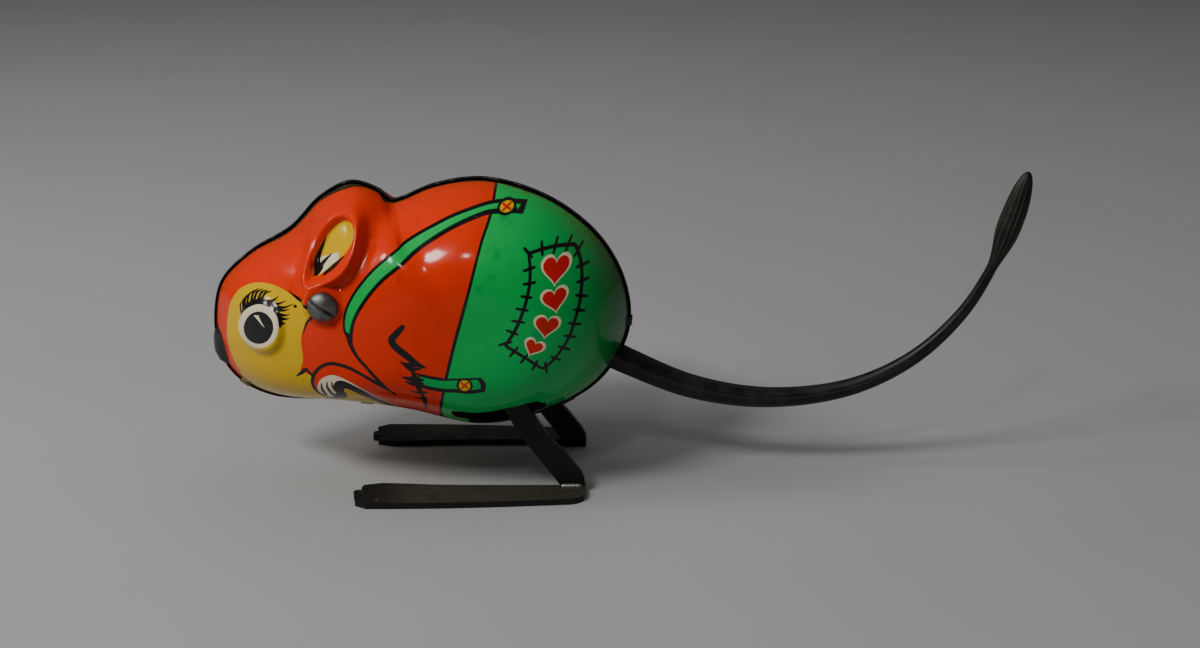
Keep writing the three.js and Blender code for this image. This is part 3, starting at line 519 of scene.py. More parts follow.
class Print:
    """Areas and brush strokes on the flat tin. A later one covers what lies under it."""

    def __init__(self):
        self.points, self.faces, self.inks = [], [], []

    def face(self, name, ring):
        ring = np.array(ring, float)
        if np.sum(ring[:, 0] * np.roll(ring[:, 1], -1) - np.roll(ring[:, 0], -1) * ring[:, 1]) < 0:
            ring = ring[::-1]
        start = len(self.points)
        self.points.extend(tuple(map(float, p)) for p in ring)
        self.faces.append(list(range(start, len(self.points))))
        self.inks.append(name)

    def area(self, name, *curves):
        ring = np.vstack(curves)
        keep = np.linalg.norm(ring - np.roll(ring, 1, 0), axis=1) > 0.02
        self.face(name, ring[keep])

    def stroke(self, name, line, widths, fine=0.3):
        """A brush stroke: its widths are spread evenly along the line."""
        line = smooth(line, fine) if len(line) > 2 else resample(np.array(line, float), 5)
        width = np.interp(np.linspace(0, 1, len(line)), np.linspace(0, 1, len(widths)), widths) / 2
        side = normals_of(line) * np.maximum(width, 0.015)[:, None]
        for i in range(len(line) - 1):
            self.face(name, [line[i] + side[i], line[i + 1] + side[i + 1], line[i + 1] - side[i + 1],
                line[i] - side[i]])
        for at, radius in ((line[0], width[0]), (line[-1], width[-1])):
            if radius > 0.12:
                self.face(name, circle(at, radius, 12))

    def disc(self, name, at, rx, rz):
        self.face(name, circle(at, (rx, rz), 40))


def draw_mouse():
    p = Print()
    p.area("orange", base_line)
    border = smooth([(-17.8, 58), (-18.1, 55.3), (-18.6, 51.9), (-19.6, 49.5), (-22.3, 39.9), (-24.7, 31.6),
                     (-25.9, 27), (-27.1, 21.8), (-28, 16.9), (-28.3, 9)])
    p.area("green", border, np.array([(12, 9), (12, 58)]))
    p.stroke("black", border[::6], [0.5, 0.45, 0.6, 0.5, 0.6])
    wide = np.interp(base_line[:, 0], [-62, -54, -44, -40, -33, -15, 4], [0.0, 0.25, 0.42, 0.05, 0.08, 0.12,
        0.06])
    uneven = 1 + 0.3 * np.sin(np.arange(RIM_COUNT) * 0.21) * np.sin(np.arange(RIM_COUNT) * 0.037)
    band_width = wide * uneven * step(18, 26, base_line[:, 1]) + 0.03
    band = base_line + band_width[:, None] * edge_normals
    for i in range(RIM_COUNT):
        j = (i + 1) % RIM_COUNT
        p.face("black", [base_line[i], base_line[j], band[j], band[i]])
    draw_face(p)
    draw_ear(p)
    draw_clothes(p)
    draw_patch(p)
    return p


def draw_face(p):
    p.area("yellow", smooth([(-64.9, 17.9), (-65.1, 20), (-65.5, 21.2), (-66.2, 23.2), (-66.8, 25.2),
        (-66.95, 27.6), (-66.7, 29.8), (-65.8, 33.8), (-64.8, 35.6), (-63.5, 37.1), (-61.8, 38.2),
        (-59.9, 38.9), (-57.9, 39.2), (-56.1, 39.2), (-54.7, 38.9), (-53.3, 38.5), (-51.9, 37.9),
        (-50.6, 37.3), (-49.3, 36.9)]), smooth([(-49.2, 36.1), (-50.3, 34.3), (-51, 32.8), (-51.5, 30.9),
        (-51.5, 29.4), (-51.4, 27.9), (-51.6, 26.4), (-52.2, 25)]), smooth([(-51.4, 24.5), (-49.9, 24),
        (-50.2, 22.7), (-50, 21.2), (-49.3, 20.1), (-48, 19.3), (-45.5, 19.6), (-44.6, 21.4), (-44.4, 22.4),
        (-43.1, 21.9), (-41.5, 20.7), (-39.4, 18.9), (-37.4, 17.1), (-35.5, 14.4), (-34.9, 12.4)]),
        np.array([(-48, 12.8), (-60, 13.6), (-65.6, 16)]))
    ring = smooth([(-55.4, 33), (-56, 31), (-57.5, 29.2), (-59.7, 28), (-62, 27.8), (-63.5, 28.7),
        (-64, 30.6), (-63.1, 33), (-61.2, 35), (-59.1, 36), (-57.2, 35.9), (-55.8, 34.8)], 0.25, True)
    lash_root = smooth([(-63.5, 32.2), (-62.8, 34), (-61.9, 35.2), (-60.7, 36.1), (-59.2, 36.7),
        (-57.8, 36.8), (-56.6, 36.4), (-55.6, 35.7), (-55, 34.7), (-54.7, 33.5), (-55.1, 32.6)])
    p.area("black", lash_root, ring[:1])
    tips = [(-63, 35.4), (-62, 36.5), (-61.2, 37.1), (-60.4, 37.7), (-59.4, 38.2), (-58.5, 38.3),
        (-57.6, 38.3), (-56.8, 38.2), (-55.4, 37.8), (-54, 37.3), (-52.6, 37), (-53.3, 36), (-53.3, 35.1),
        (-53.4, 34.4), (-54.2, 33.5)]
    for i, tip in enumerate(tips):
        root = lash_root[int((i + 1.5) / (len(tips) + 1.5) * (len(lash_root) - 1))]
        root = root + 0.25 * (np.array([-59.3, 32]) - root) / 4
        tip = np.array(tip)
        bow = (root + tip) / 2 + 0.22 * np.array([-(tip - root)[1],
            (tip - root)[0]]) * (0.8 if i < 8 else -0.5)
        p.stroke("black", [root, bow, tip], [0.62, 0.4, 0.06], 0.25)
    p.disc("black", (-52.3, 36.6), 0.35, 0.28)
    p.area("cream", ring)
    p.area("black", smooth([(-56.4, 32.6), (-56.9, 31.1), (-58, 29.7), (-59.6, 28.9), (-61.2, 28.9),
        (-62.3, 29.6), (-62.6, 31), (-62, 32.6), (-60.8, 34), (-59.2, 34.8), (-57.7, 34.7), (-56.7, 33.9)],
        0.25, True))
    p.area("cream", np.array([(-60.3, 33.9), (-59.3, 34.1), (-58.9, 33.3), (-58.15, 32.2), (-58.6, 32.5),
        (-59.4, 33.2)]))
    p.stroke("black", [(-53.6, 38.8), (-52.3, 38.2), (-51.2, 37.7), (-50.1, 37.5), (-49.2, 37.5)],
        [0.1, 0.5, 0.6, 0.7])
    p.stroke("black", [(-48.9, 35.7), (-49.9, 34.6), (-50.5, 33.5), (-51, 32)], [0.55, 0.4, 0.12])
    p.stroke("black", [(-53.2, 23.4), (-51.9, 24.5), (-51, 25.3), (-50.4, 24.6), (-49.8, 24)],
        [0.15, 0.6, 0.75, 0.5, 0.6])
    draw_cheek(p)


def draw_cheek(p):
    p.area("orange", smooth([(-49.9, 24), (-49.2, 25.2), (-48, 26.3), (-46.5, 27), (-44.8, 27), (-42.9, 26.5),
        (-40.9, 25.5), (-38.7, 24.1), (-35.5, 21.5), (-34, 17), (-36.5, 16.3), (-38.7, 19), (-40.8, 20.9),
        (-44.3, 23.2), (-48, 21), (-50.1, 21.5)]))
    p.area("cream", smooth([(-49.5, 21.6), (-48.7, 23.4), (-47.5, 24.4), (-46.1, 24.9), (-44.5, 24.5),
        (-42.5, 23.4), (-40.3, 21.8), (-38.2, 19.7), (-36.2, 17.4), (-34.4, 14.6)]), smooth([(-35.2, 14.4),
        (-38.7, 19), (-42.6, 22.5), (-45.4, 22), (-45.6, 19.5), (-48.6, 19.6), (-49.4, 20.6)]))
    p.area("black", smooth([(-46.4, 21.9), (-46.1, 23.1), (-45.4, 23.8), (-44.3, 23.9), (-42.9, 23.3),
        (-40.9, 22), (-38.8, 20.1), (-36.7, 17.8), (-34.9, 14.9)]), smooth([(-35.5, 14.3), (-37.4, 16.9),
        (-39.4, 18.8), (-41.5, 20.6), (-43.1, 21.8), (-44.3, 22.2), (-44.6, 21.6), (-44.2, 20.5),
        (-44.7, 19.3), (-46.7, 19.1), (-47, 19.8), (-45.9, 21), (-46.4, 21.2)]))
    for line in ([(-48.5, 22.9), (-48.6, 21.4), (-48.2, 19.9)], [(-47.4, 23.4), (-47.5, 21.9), (-46.8, 20)],
                 [(-46.5, 23.5), (-46.5, 22.4), (-45.8, 20.9)]):
        p.stroke("black", line, [0.12, 0.5, 0.6])
    p.stroke("black", [(-49.9, 24.1), (-49.2, 25.2), (-48, 26.4), (-46.5, 27.1), (-44.8, 27.1), (-42.9, 26.6),
        (-40.9, 25.6), (-38.7, 24.2), (-36.9, 22.9), (-35.4, 21.6)], [0.6, 0.65, 0.7, 0.6, 0.8, 0.3])
    p.stroke("black", [(-49.8, 24.2), (-50.2, 22.7), (-50, 21.2), (-49.3, 20), (-48.3, 19.2), (-46.4, 18.9)],
             [0.7, 0.6, 0.55, 0.6])


def draw_ear(p):
    p.area("yellow", smooth([(-48.9, 42.1), (-48.9, 43.6), (-48.5, 45), (-47.8, 46.4), (-47, 47.7),
        (-45.9, 49), (-44.7, 50), (-43.3, 50.6), (-42.1, 50.8), (-41.6, 50.2), (-41.5, 49.3), (-41.8, 48.2),
        (-42.5, 47), (-43.4, 45.9), (-44.7, 44.6), (-46, 43.5), (-47.2, 42.6), (-48.2, 42)], 0.25, True))
    p.area("cream", smooth([(-48.6, 42.6), (-48, 44.4), (-46.8, 44.9), (-45.6, 45.4), (-44.6, 45.8),
        (-44.3, 45.1), (-45.4, 44.2), (-46.8, 43), (-48.2, 42.2)], 0.25, True))
    p.area("black", smooth([(-48.9, 42), (-49, 43.5), (-48.6, 45), (-47.9, 46.4), (-46.9, 47.9)]),
           smooth([(-47.4, 46.3), (-47.9, 44.9), (-48, 43.6), (-47.3, 43.2), (-47.6, 42.6), (-48.2, 42)]))
    p.stroke("black", [(-48.4, 42.5), (-47.3, 43.9), (-45.8, 45.4)], [0.9, 0.5, 0.12])
    p.stroke("black", [(-46.9, 42.6), (-45.3, 43.9), (-43.2, 46)], [0.3, 0.5, 0.15])


def draw_clothes(p):
    upper = smooth([(-14.9, 53.35), (-17.2, 53.6), (-19.4, 53.5), (-22.7, 52.8), (-25.5, 51.9), (-28.6, 50.5),
        (-31.8, 48.8), (-34.4, 47.3), (-37.2, 45.2), (-39.7, 42.7), (-41.7, 40.1), (-43.1, 37.5), (-43.7, 35),
        (-43.5, 33), (-42.7, 31.5)])
    lower = smooth([(-14.7, 51.75), (-17.1, 51.95), (-19.2, 51.95), (-22.5, 51.1), (-25, 50.1), (-27.5, 48.8),
        (-30.5, 46.9), (-33.1, 45), (-35.9, 42.8), (-38, 40.6), (-39.8, 38.2), (-41.2, 35.8), (-41.9, 33.6),
        (-42.1, 31.5)])
    p.area("black", upper, lower[::-1])
    p.area("green", (upper - 0.42 * normals_of(upper))[2:-6], (lower + 0.6 * normals_of(lower))[2:-5][::-1])
    p.area("black", np.array([(-15, 53.4), (-12.5, 52.95), (-13.2, 51.45), (-14.7, 51.75)]))
    p.area("green", np.array([(-14.6, 52.75), (-13.6, 52.65), (-14.1, 52.1)]))
    for at, rx, rz in (((-16.0, 52.65), 1.15, 0.66), ((-23.2, 24.0), 1.0, 1.08)):
        p.disc("black", at, rx + 0.42, rz + 0.36)
        p.disc("yellow", at, rx, rz)
        for way in (-1, 1):
            ends = [(at[0] - 0.55 * rx, at[1] - way * 0.55 * rz), (at[0] + 0.55 * rx,
                at[1] + way * 0.55 * rz)]
            p.stroke("red", ends, [0.3, 0.36, 0.3])
    p.stroke("black", [(-42.7, 31.9), (-42.2, 30.3), (-41.3, 28.7), (-40, 27.1), (-38.6, 25.3), (-37.2, 23.4),
        (-35.4, 21.4)], [0.85, 0.6, 0.6, 0.75, 0.2])
    top = smooth([(-31, 26.2), (-29.1, 25.65), (-26.9, 25.3), (-24.8, 25.4), (-22.2, 25.5), (-20.3, 25.6)])
    low = smooth([(-31.4, 23.6), (-29.2, 22.9), (-27, 22.5), (-24.9, 22.5), (-22.4, 22.3), (-19.7, 22.7)])
    p.area("black", top, np.array([(-19.5, 24.4)]), low[::-1])
    p.area("green", (top + 0.4 * normals_of(top))[1:-2], np.array([(-20.5, 24.3)]),
           (low - 0.8 * normals_of(low))[1:-2][::-1])
    at = (-23.2, 24.0)
    p.disc("black", at, 1.42, 1.44)
    p.disc("yellow", at, 1.0, 1.08)
    for way in (-1, 1):
        p.stroke("red", [(at[0] - 0.55, at[1] - way * 0.55), (at[0] + 0.55, at[1] + way * 0.55)],
            [0.3, 0.36, 0.3])
    for line, widths in (
        ([(-33.3, 34.8), (-34.4, 33.6), (-35.3, 32.3), (-34.6, 31.1), (-33.1, 29.8), (-31.6, 28.5),
          (-30.2, 27.6)], [0.9, 1.15, 1.25, 1.3, 1.3, 1.1, 0.5]),
        ([(-34, 28.5), (-32.8, 27.9), (-31.3, 28), (-29.9, 27.5)], [0.2, 0.9, 1.1, 0.4]),
        ([(-33.5, 27.9), (-32.4, 27.1), (-30.3, 27.3)], [0.2, 0.8, 0.2]),
        ([(-33.8, 25.5), (-32.5, 25.2), (-30.4, 25)], [0.3, 1.2, 0.6]),
        ([(-33.4, 24.7), (-32.3, 24.2), (-30.6, 24.2)], [0.2, 0.9, 0.8]),
        ([(-32.6, 22.6), (-31.2, 22.2), (-29.8, 22.4)], [0.2, 0.6, 0.4]),
        ([(-32.1, 21), (-31.1, 20.8), (-29.7, 21)], [0.15, 0.5, 0.15]),
        ([(-32.5, 27.5), (-31.8, 26.2), (-31.4, 24.1), (-30.7, 21.8), (-30.4, 20.2), (-30.5, 17.6)],
         [0.5, 0.9, 0.9, 0.7, 0.8, 0.3]),
        ([(-31.5, 26.3), (-29.3, 25.7), (-27, 25.35)], [0.3, 0.4, 0.3]),
    ):
        p.stroke("black", line, widths)


def draw_patch(p):
    corners = [[(-12, 46.4), (-10.3, 46.6), (-7.7, 46.6), (-4.6, 46)], [(-4.3, 45.8), (-3.6, 44.4),
        (-3.2, 42.9), (-3.1, 41), (-3.2, 39.5), (-3.5, 37.4), (-4.2, 35.1), (-5.1, 32.5), (-6.2, 30.6),
        (-7.3, 29.1), (-8.7, 27.6), (-9.5, 26.8)], [(-9.8, 26.9), (-10.9, 27.7), (-12.8, 29.2), (-14.6, 30.5),
        (-15.9, 31.5)], [(-15.9, 31.8), (-14.9, 33.2), (-13.6, 35.8), (-12.4, 39.2), (-11.8, 42.2),
        (-11.8, 44.9), (-12, 46.2)]]
    line = np.vstack([smooth(c) for c in corners])
    p.stroke("black", list(line[::4]) + [line[0]], [0.5, 0.6, 0.5, 0.62, 0.5])
    wobble = random.Random(3)
    places = resample(line, 24, True)
    outward = -normals_of(places, True)
    for at, out in zip(places, outward):
        tilt = wobble.uniform(-0.25, 0.25)
        way = np.array([out[0] - tilt * out[1], out[1] + tilt * out[0]])
        p.stroke("black", [at - way * wobble.uniform(0.6, 0.85), at + way * wobble.uniform(0.95, 1.25)],
            [0.42, 0.55, 0.42])
    hearts = ((-7.5, 43.1, 2.2, -0.1), (-7.6, 38.6, 2.0, 0.1), (-9.1, 34.3, 1.95, -0.2),
        (-11.4, 30.8, 1.5, -0.5))
    for x, z, size, lean in hearts:
        t = np.linspace(0, 2 * np.pi, 44, endpoint=False)
        outline = (13 * np.cos(t) - 5 * np.cos(2 * t) - 2 * np.cos(3 * t) - np.cos(4 * t)) / 16
        heart = np.stack([np.sin(t) ** 3, outline + 0.2], 1)
        c, s = math.cos(lean), math.sin(lean)
        for name, grown in (("cream", 1 + 0.42 / size), ("red", 1.0)):
            p.area(name, np.array([x, z]) + heart * grown * size @ np.array([[c, s], [-s, c]]))


# ------------------------------------------------------------------ half shells


# The leg's slot in the belly: how far its outer and inner edges lie from the seam plane along x.
SLOT_FAR = [(-26.2, 14.1), (-24.4, 14.7), (-16.5, 14.7), (-12.8, 14.1), (-11, 13.4), (-9.6, 11.2)]
SLOT_TONGUE, SLOT_NEAR, SLOT_FRONT = 12.0, 7.8, -23.4


def slot_outline():
    """Where the leg's slot is seen from the side, under the belly."""

    def low_edge(xs, wanted):
        low, high = np.full(len(xs), 8.0), np.full(len(xs), 24.0)
        for _ in range(30):
            mid = (low + high) / 2
            deep = depth(xs, mid) > wanted
            low, high = np.where(deep, low, mid), np.where(deep, mid, high)
        return np.stack([xs, (low + high) / 2], 1)

    front, rear = SLOT_FAR[0][0], SLOT_FAR[-1][0]
    xs = np.linspace(front, rear, 60)
    far = low_edge(xs, np.interp(xs, *np.array(SLOT_FAR).T))
    tongue = low_edge(np.linspace(front, SLOT_FRONT, 8), SLOT_TONGUE)
    near = low_edge(np.linspace(SLOT_FRONT, rear, 34), SLOT_NEAR)
    far[0, 1] -= 0.3
    tongue[0] += (0.4, 0.1)
    return np.vstack([far, near[::-1], tongue[::-1]])


def grid_points():
    """Points that fill the flat outline, closer together where the tin is pressed or steep."""
    points = []
    for spacing, x0, x1, z0, z1, wanted in (
        (0.85, -70, 6, 10, 57, lambda x, z: (ear_distance(x, z) > 4) & (np.hypot(x + 59.3, z - 32) > 6.8)
         & (np.hypot(x - SCREW[0], z - SCREW[1]) > 4.8)),
        (0.38, -54, -34, 36, 56, lambda x, z: (ear_distance(x, z) <= 4)
         & (np.hypot(x - SCREW[0], z - SCREW[1]) > 4.8)),
        (0.5, -68, -50, 24, 40, lambda x, z: np.hypot(x + 59.3, z - 32) <= 6.8),
        (0.4, -53, -41, 31, 43, lambda x, z: np.hypot(x - SCREW[0], z - SCREW[1]) <= 4.8),
    ):
        xs, zs = np.arange(x0, x1, spacing), np.arange(z0, z1, spacing * 0.87)
        gx, gz = np.meshgrid(xs, zs)
        gx[1::2] += spacing / 2
        x, z = gx.ravel(), gz.ravel()
        keep = wanted(x, z) & (share_of(x, z) < 0.955)
        points.append(np.stack([x[keep], z[keep]], 1))
    for i, share in enumerate((0.965, 0.98, 0.991)):
        points.append(MIDDLE + share * (base_line - MIDDLE)[i % 2 :: 2])
    return np.vstack(points)


KEY_AXIS = (np.array(joints["key_turn"]["pos_m"]) * 1000 - ORIGIN)[[0, 2]]
KEY_HOLE, SCREW_HOLE = 2.8, 1.65  # radii
BOTH_SIDES_HOLES = {"hole_leg", "hole_screw"}


def lay_out_print():
    """Triangles over the flat outline with an ink for each, cut along the edges of the picture."""
    picture = draw_mouse()
    picture.area("hole_leg", slot_outline())
    picture.area("hole_key", circle(KEY_AXIS, KEY_HOLE, 40))
    picture.area("hole_screw", circle(np.array(SCREW), SCREW_HOLE, 40))
    grid = [tuple(p) for p in grid_points()]
    points = [Vector(p) for p in picture.points + grid]
    flat, _, triangles, _, _, origins = delaunay_2d_cdt(points, [], picture.faces, 0, 1e-4)
    flat = np.array([tuple(p) for p in flat])
    kept, inks, in_hole = [], [], []
    for triangle, under in zip(triangles, origins):
        if not under or 0 not in under or len(triangle) != 3:
            continue
        names = [picture.inks[f] for f in sorted(under)]
        in_hole.append({n for n in names if n.startswith("hole_")})
        kept.append(triangle)
        inks.append(INK_INDEX[[n for n in names if not n.startswith("hole_")][-1]])
    return flat, np.array(kept), np.array(inks), in_hole


def new_object(name, vertices, faces, materials, indices, normals):
    """A smooth mesh from points in drawing millimetres."""
    mesh = bpy.data.meshes.new(name)
    mesh.from_pydata(world(vertices).tolist(), [], [list(map(int, f)) for f in faces])
    for material in materials:
        mesh.materials.append(material)
    mesh.polygons.foreach_set("material_index", np.array(indices, np.int32))
    mesh.polygons.foreach_set("use_smooth", np.full(len(mesh.polygons), True))
    mesh.validate()
    mesh.update()
    mesh.normals_split_custom_set_from_vertices([tuple(n) for n in normals])
    return link(name, mesh)


def add_attribute(obj, name, values):
    attribute = obj.data.attributes.new(name, "FLOAT", "POINT")
    attribute.data.foreach_set("value", np.asarray(values, np.float32))


TIN = 0.4
BODY_REACH = 30  # about how far the seam lies from the body's middle
# The bead's section round the seam: (distance in from the edge, distance from the seam plane).
BEAD_SECTION = [(0.5, 0.45), (0.47, 0.6), (0.33, 0.66), (0.14, 0.6), (0.02, 0.44), (0.0, 0.2), (0.06, 0.06),
                (0.3, 0.02), (1.2, 0.02)]


def rim_wear(flat):
    """How grimy and worn the print is: strongest at the seam, and reaching furthest on top of the rump."""
    share = share_of(flat[:, 0], flat[:, 1])
    distance = (1 - share) * BODY_REACH
    rump = step(-18, 2, flat[:, 0]) * step(30, 46, flat[:, 1])
    return np.exp(-distance / (0.7 + 1.9 * rump)) * (0.7 + 0.25 * rump)


def half_shell(name, side, laid_out):
    flat, triangles, inks, in_hole = laid_out
    holes = BOTH_SIDES_HOLES | ({"hole_key"} if side > 0 else set())
    keep = np.array([not (h & holes) for h in in_hole])
    triangles, inks = triangles[keep], inks[keep]
    used = np.unique(triangles)
    renumber = np.full(len(flat), -1)
    renumber[used] = np.arange(len(used))
    flat, triangles = flat[used], renumber[triangles]
    # All triangles are wound alike, so that the outside faces out.
    a, b, c = (flat[triangles[:, k]] for k in range(3))
    turning = (b - a)[:, 0] * (c - a)[:, 1] - (b - a)[:, 1] * (c - a)[:, 0]
    triangles = np.where((turning * side > 0)[:, None], triangles[:, ::-1], triangles)
    outside, out_normals = on_shell(flat, side)
    inside = outside - TIN * out_normals
    count = len(flat)
    faces = [tuple(t) for t in triangles] + [tuple(t[::-1] + count) for t in triangles]
    rim, within = SHELL_MATERIALS.index(RIM), SHELL_MATERIALS.index(INSIDE)
    indices = list(inks) + [within] * len(triangles)
    # A strip from the outside to the inside closes each open edge, apart from the seam.
    edges = {(t[k], t[(k + 1) % 3]): True for t in triangles for k in range(3)}
    for i, j in edges:
        if (j, i) not in edges and share_of(*flat[i]) < 0.995:
            faces.append((j, i, i + count, j + count))
            indices.append(rim)
    start = 2 * count
    rings, ring_normals = [], []
    for k, (inward, y) in enumerate(BEAD_SECTION):
        ring = edge_line + inward * edge_normals
        rings.append(np.stack([ring[:, 0], np.full(RIM_COUNT, side * y), ring[:, 1]], 1))
        before, after = BEAD_SECTION[max(0, k - 1)], BEAD_SECTION[min(len(BEAD_SECTION) - 1, k + 1)]
        across, up = after[0] - before[0], after[1] - before[1]
        across, up = across / math.hypot(across, up), up / math.hypot(across, up)
        flat_part = edge_normals * up
        ring_normals.append(np.stack([flat_part[:, 0], np.full(RIM_COUNT, side * across), flat_part[:, 1]],
            1))
    for k in range(len(BEAD_SECTION) - 1):
        for i in range(RIM_COUNT):
            j = (i + 1) % RIM_COUNT
            low, high = start + k * RIM_COUNT, start + (k + 1) * RIM_COUNT
            quad = [low + i, low + j, high + j, high + i]
            faces.append(quad if side < 0 else quad[::-1])
            indices.append(rim)
    vertices = np.vstack([outside, inside, *rings])
    normals = np.vstack([out_normals, -out_normals, *ring_normals])
    obj = new_object(name, vertices, faces, SHELL_MATERIALS, indices, normals)
    wear = rim_wear(flat)
    add_attribute(obj, "rim", np.concatenate([wear, wear, np.ones(RIM_COUNT * len(BEAD_SECTION))]))
    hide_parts("left_shell" if side < 0 else "right_shell")
    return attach(obj, "body")


laid_out = lay_out_print()
for shell_name, shell_side in (("left_tin_half", -1), ("right_tin_half", 1)):
    half_shell(shell_name, shell_side, laid_out)


# ------------------------------------------------------------------ building other pieces


class Solid:
    """Collects turned, cut and bent pieces in drawing millimetres and makes one mesh of them."""

    def __init__(self):
        self.mesh = bmesh.new()

    def grid(self, points, close_v=False, material=0, flip=False):
        """A surface through a grid of points, rows first."""
        rows, columns = len(points), len(points[0])
        verts = [[self.mesh.verts.new(p) for p in row] for row in points]
        for i in range(rows - 1):
            for j in range(columns if close_v else columns - 1):
                a, b = verts[i][j], verts[i][(j + 1) % columns]
                c, d = verts[i + 1][(j + 1) % columns], verts[i + 1][j]
                face = self.mesh.faces.new((a, d, c, b) if flip else (a, b, c, d))
                face.smooth = True
                face.material_index = material

    def turned(self, profile, x, z, sides=48):
        """A profile of (radius, y) turned about an axis along y."""
        rings = [[(x + r * math.cos(t), y, z + r * math.sin(t)) for t in turns(sides)] for r, y in profile]
        self.grid(rings, close_v=True)

    def plate(self, loops, place, thickness, bevel):
        """A flat plate with rounded edges. place turns (u, v, depth) into a point."""
        flat = [[Vector((u, v, 0)) for u, v in loop] for loop in loops]
        triangles = tessellate_polygon(flat)
        points = [p for loop in flat for p in loop]
        made = [[self.mesh.verts.new(place(p.x, p.y, deep)) for p in points] for deep in (0, thickness)]
        faces = []
        for t in triangles:
            faces.append(self.mesh.faces.new([made[0][k] for k in t]))
            faces.append(self.mesh.faces.new([made[1][k] for k in reversed(t)]))
        start = 0
        for loop in flat:
            for k in range(len(loop)):
                a, b = start + k, start + (k + 1) % len(loop)
                faces.append(self.mesh.faces.new((made[0][a], made[0][b], made[1][b], made[1][a])))
            start += len(loop)
        bmesh.ops.recalc_face_normals(self.mesh, faces=faces)
        edges = {e for f in faces for e in f.edges if len(e.link_faces) == 2 and e.calc_face_angle() > 0.6}
        bmesh.ops.bevel(self.mesh, geom=list(edges), offset=bevel, segments=2, profile=0.5, affect="EDGES",
                        clamp_overlap=True)

    def finish(self, name, materials, body, slot, *replaced):
        """One object of all that was collected, riding on a body in place of the CAD nodes it replaces."""
        mesh = bpy.data.meshes.new(name)
        bmesh.ops.recalc_face_normals(self.mesh, faces=self.mesh.faces)
        self.mesh.to_mesh(mesh)
        self.mesh.free()
        mesh.transform(Matrix.Translation(Vector(ORIGIN / 1000)) @ Matrix.Scale(0.001, 4))
        for material in materials:
            mesh.materials.append(material)
        obj = link(name, mesh)
        if replaced:
            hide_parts(*replaced)
        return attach(obj, body)


def bezier(a, b, c, d, count=14):
    """A cubic curve from a to d with handles b and c."""
    t = np.linspace(0, 1, count)[:, None]
    a, b, c, d = (np.array(p, float) for p in (a, b, c, d))
    return (1 - t) ** 3 * a + 3 * t * (1 - t) ** 2 * b + 3 * t**2 * (1 - t) * c + t**3 * d


STEEL = steel("bright_steel", (0.42, 0.41, 0.39), (0.2, 0.18, 0.15))
SCREW_STEEL = steel("screw_steel", (0.26, 0.255, 0.245), (0.10, 0.095, 0.085), 0.42, 0.6, (0, 0.6, 0), 0.35)
WORN_STEEL = steel("worn_edge", (0.5, 0.48, 0.44), (0.26, 0.24, 0.2), 0.3, 0.5, (0, 0, 0), 0.2)
KEY_STEEL = steel("key_steel", (0.5, 0.49, 0.46), (0.26, 0.23, 0.18), 0.25, 0.45, (0, 0.6, 0), 0.3)
SPRING_STEEL = steel("blued_steel", (0.10, 0.115, 0.15), (0.05, 0.05, 0.055), 0.25, 0.4, (0, 0, 0), 0.15)
BRASS = steel("brass", (0.62, 0.42, 0.16), (0.3, 0.19, 0.08), 0.28, 0.45, (0, 0, 0), 0.1)
LEG_STEEL, TAIL_RUBBER, NOSE_BLACK = leg_finish(), tail_finish(), nose_finish()


# ------------------------------------------------------------------ tail

TAIL_POINTS = [(-1.5, 24.9), (5.6, 21.2), (17.2, 16.4), (31, 14.3), (45.9, 16.3), (57, 22), (65.2, 30.5),
               (70, 39.5), (72.9, 49), (74.9, 57.1)]
TUFT_START = 0.815


ROOT_RADIUS, THIN_RADIUS, TUFT_RADIUS = 2.65, 0.95, 2.2


def tail_radius(share):
    taper = ROOT_RADIUS + (THIN_RADIUS - ROOT_RADIUS) * np.minimum(1, share / TUFT_START)
    along = np.clip((share - TUFT_START) / (1 - TUFT_START), 0, 1)
    swollen = THIN_RADIUS + (TUFT_RADIUS - THIN_RADIUS) * step(0, 0.45, along)
    rounded = np.sqrt(np.maximum(0, 1 - np.maximum(0, (along - 0.45) / 0.55) ** 2.3))
    return np.where(share < TUFT_START, taper, np.maximum(0.05, swollen * rounded))


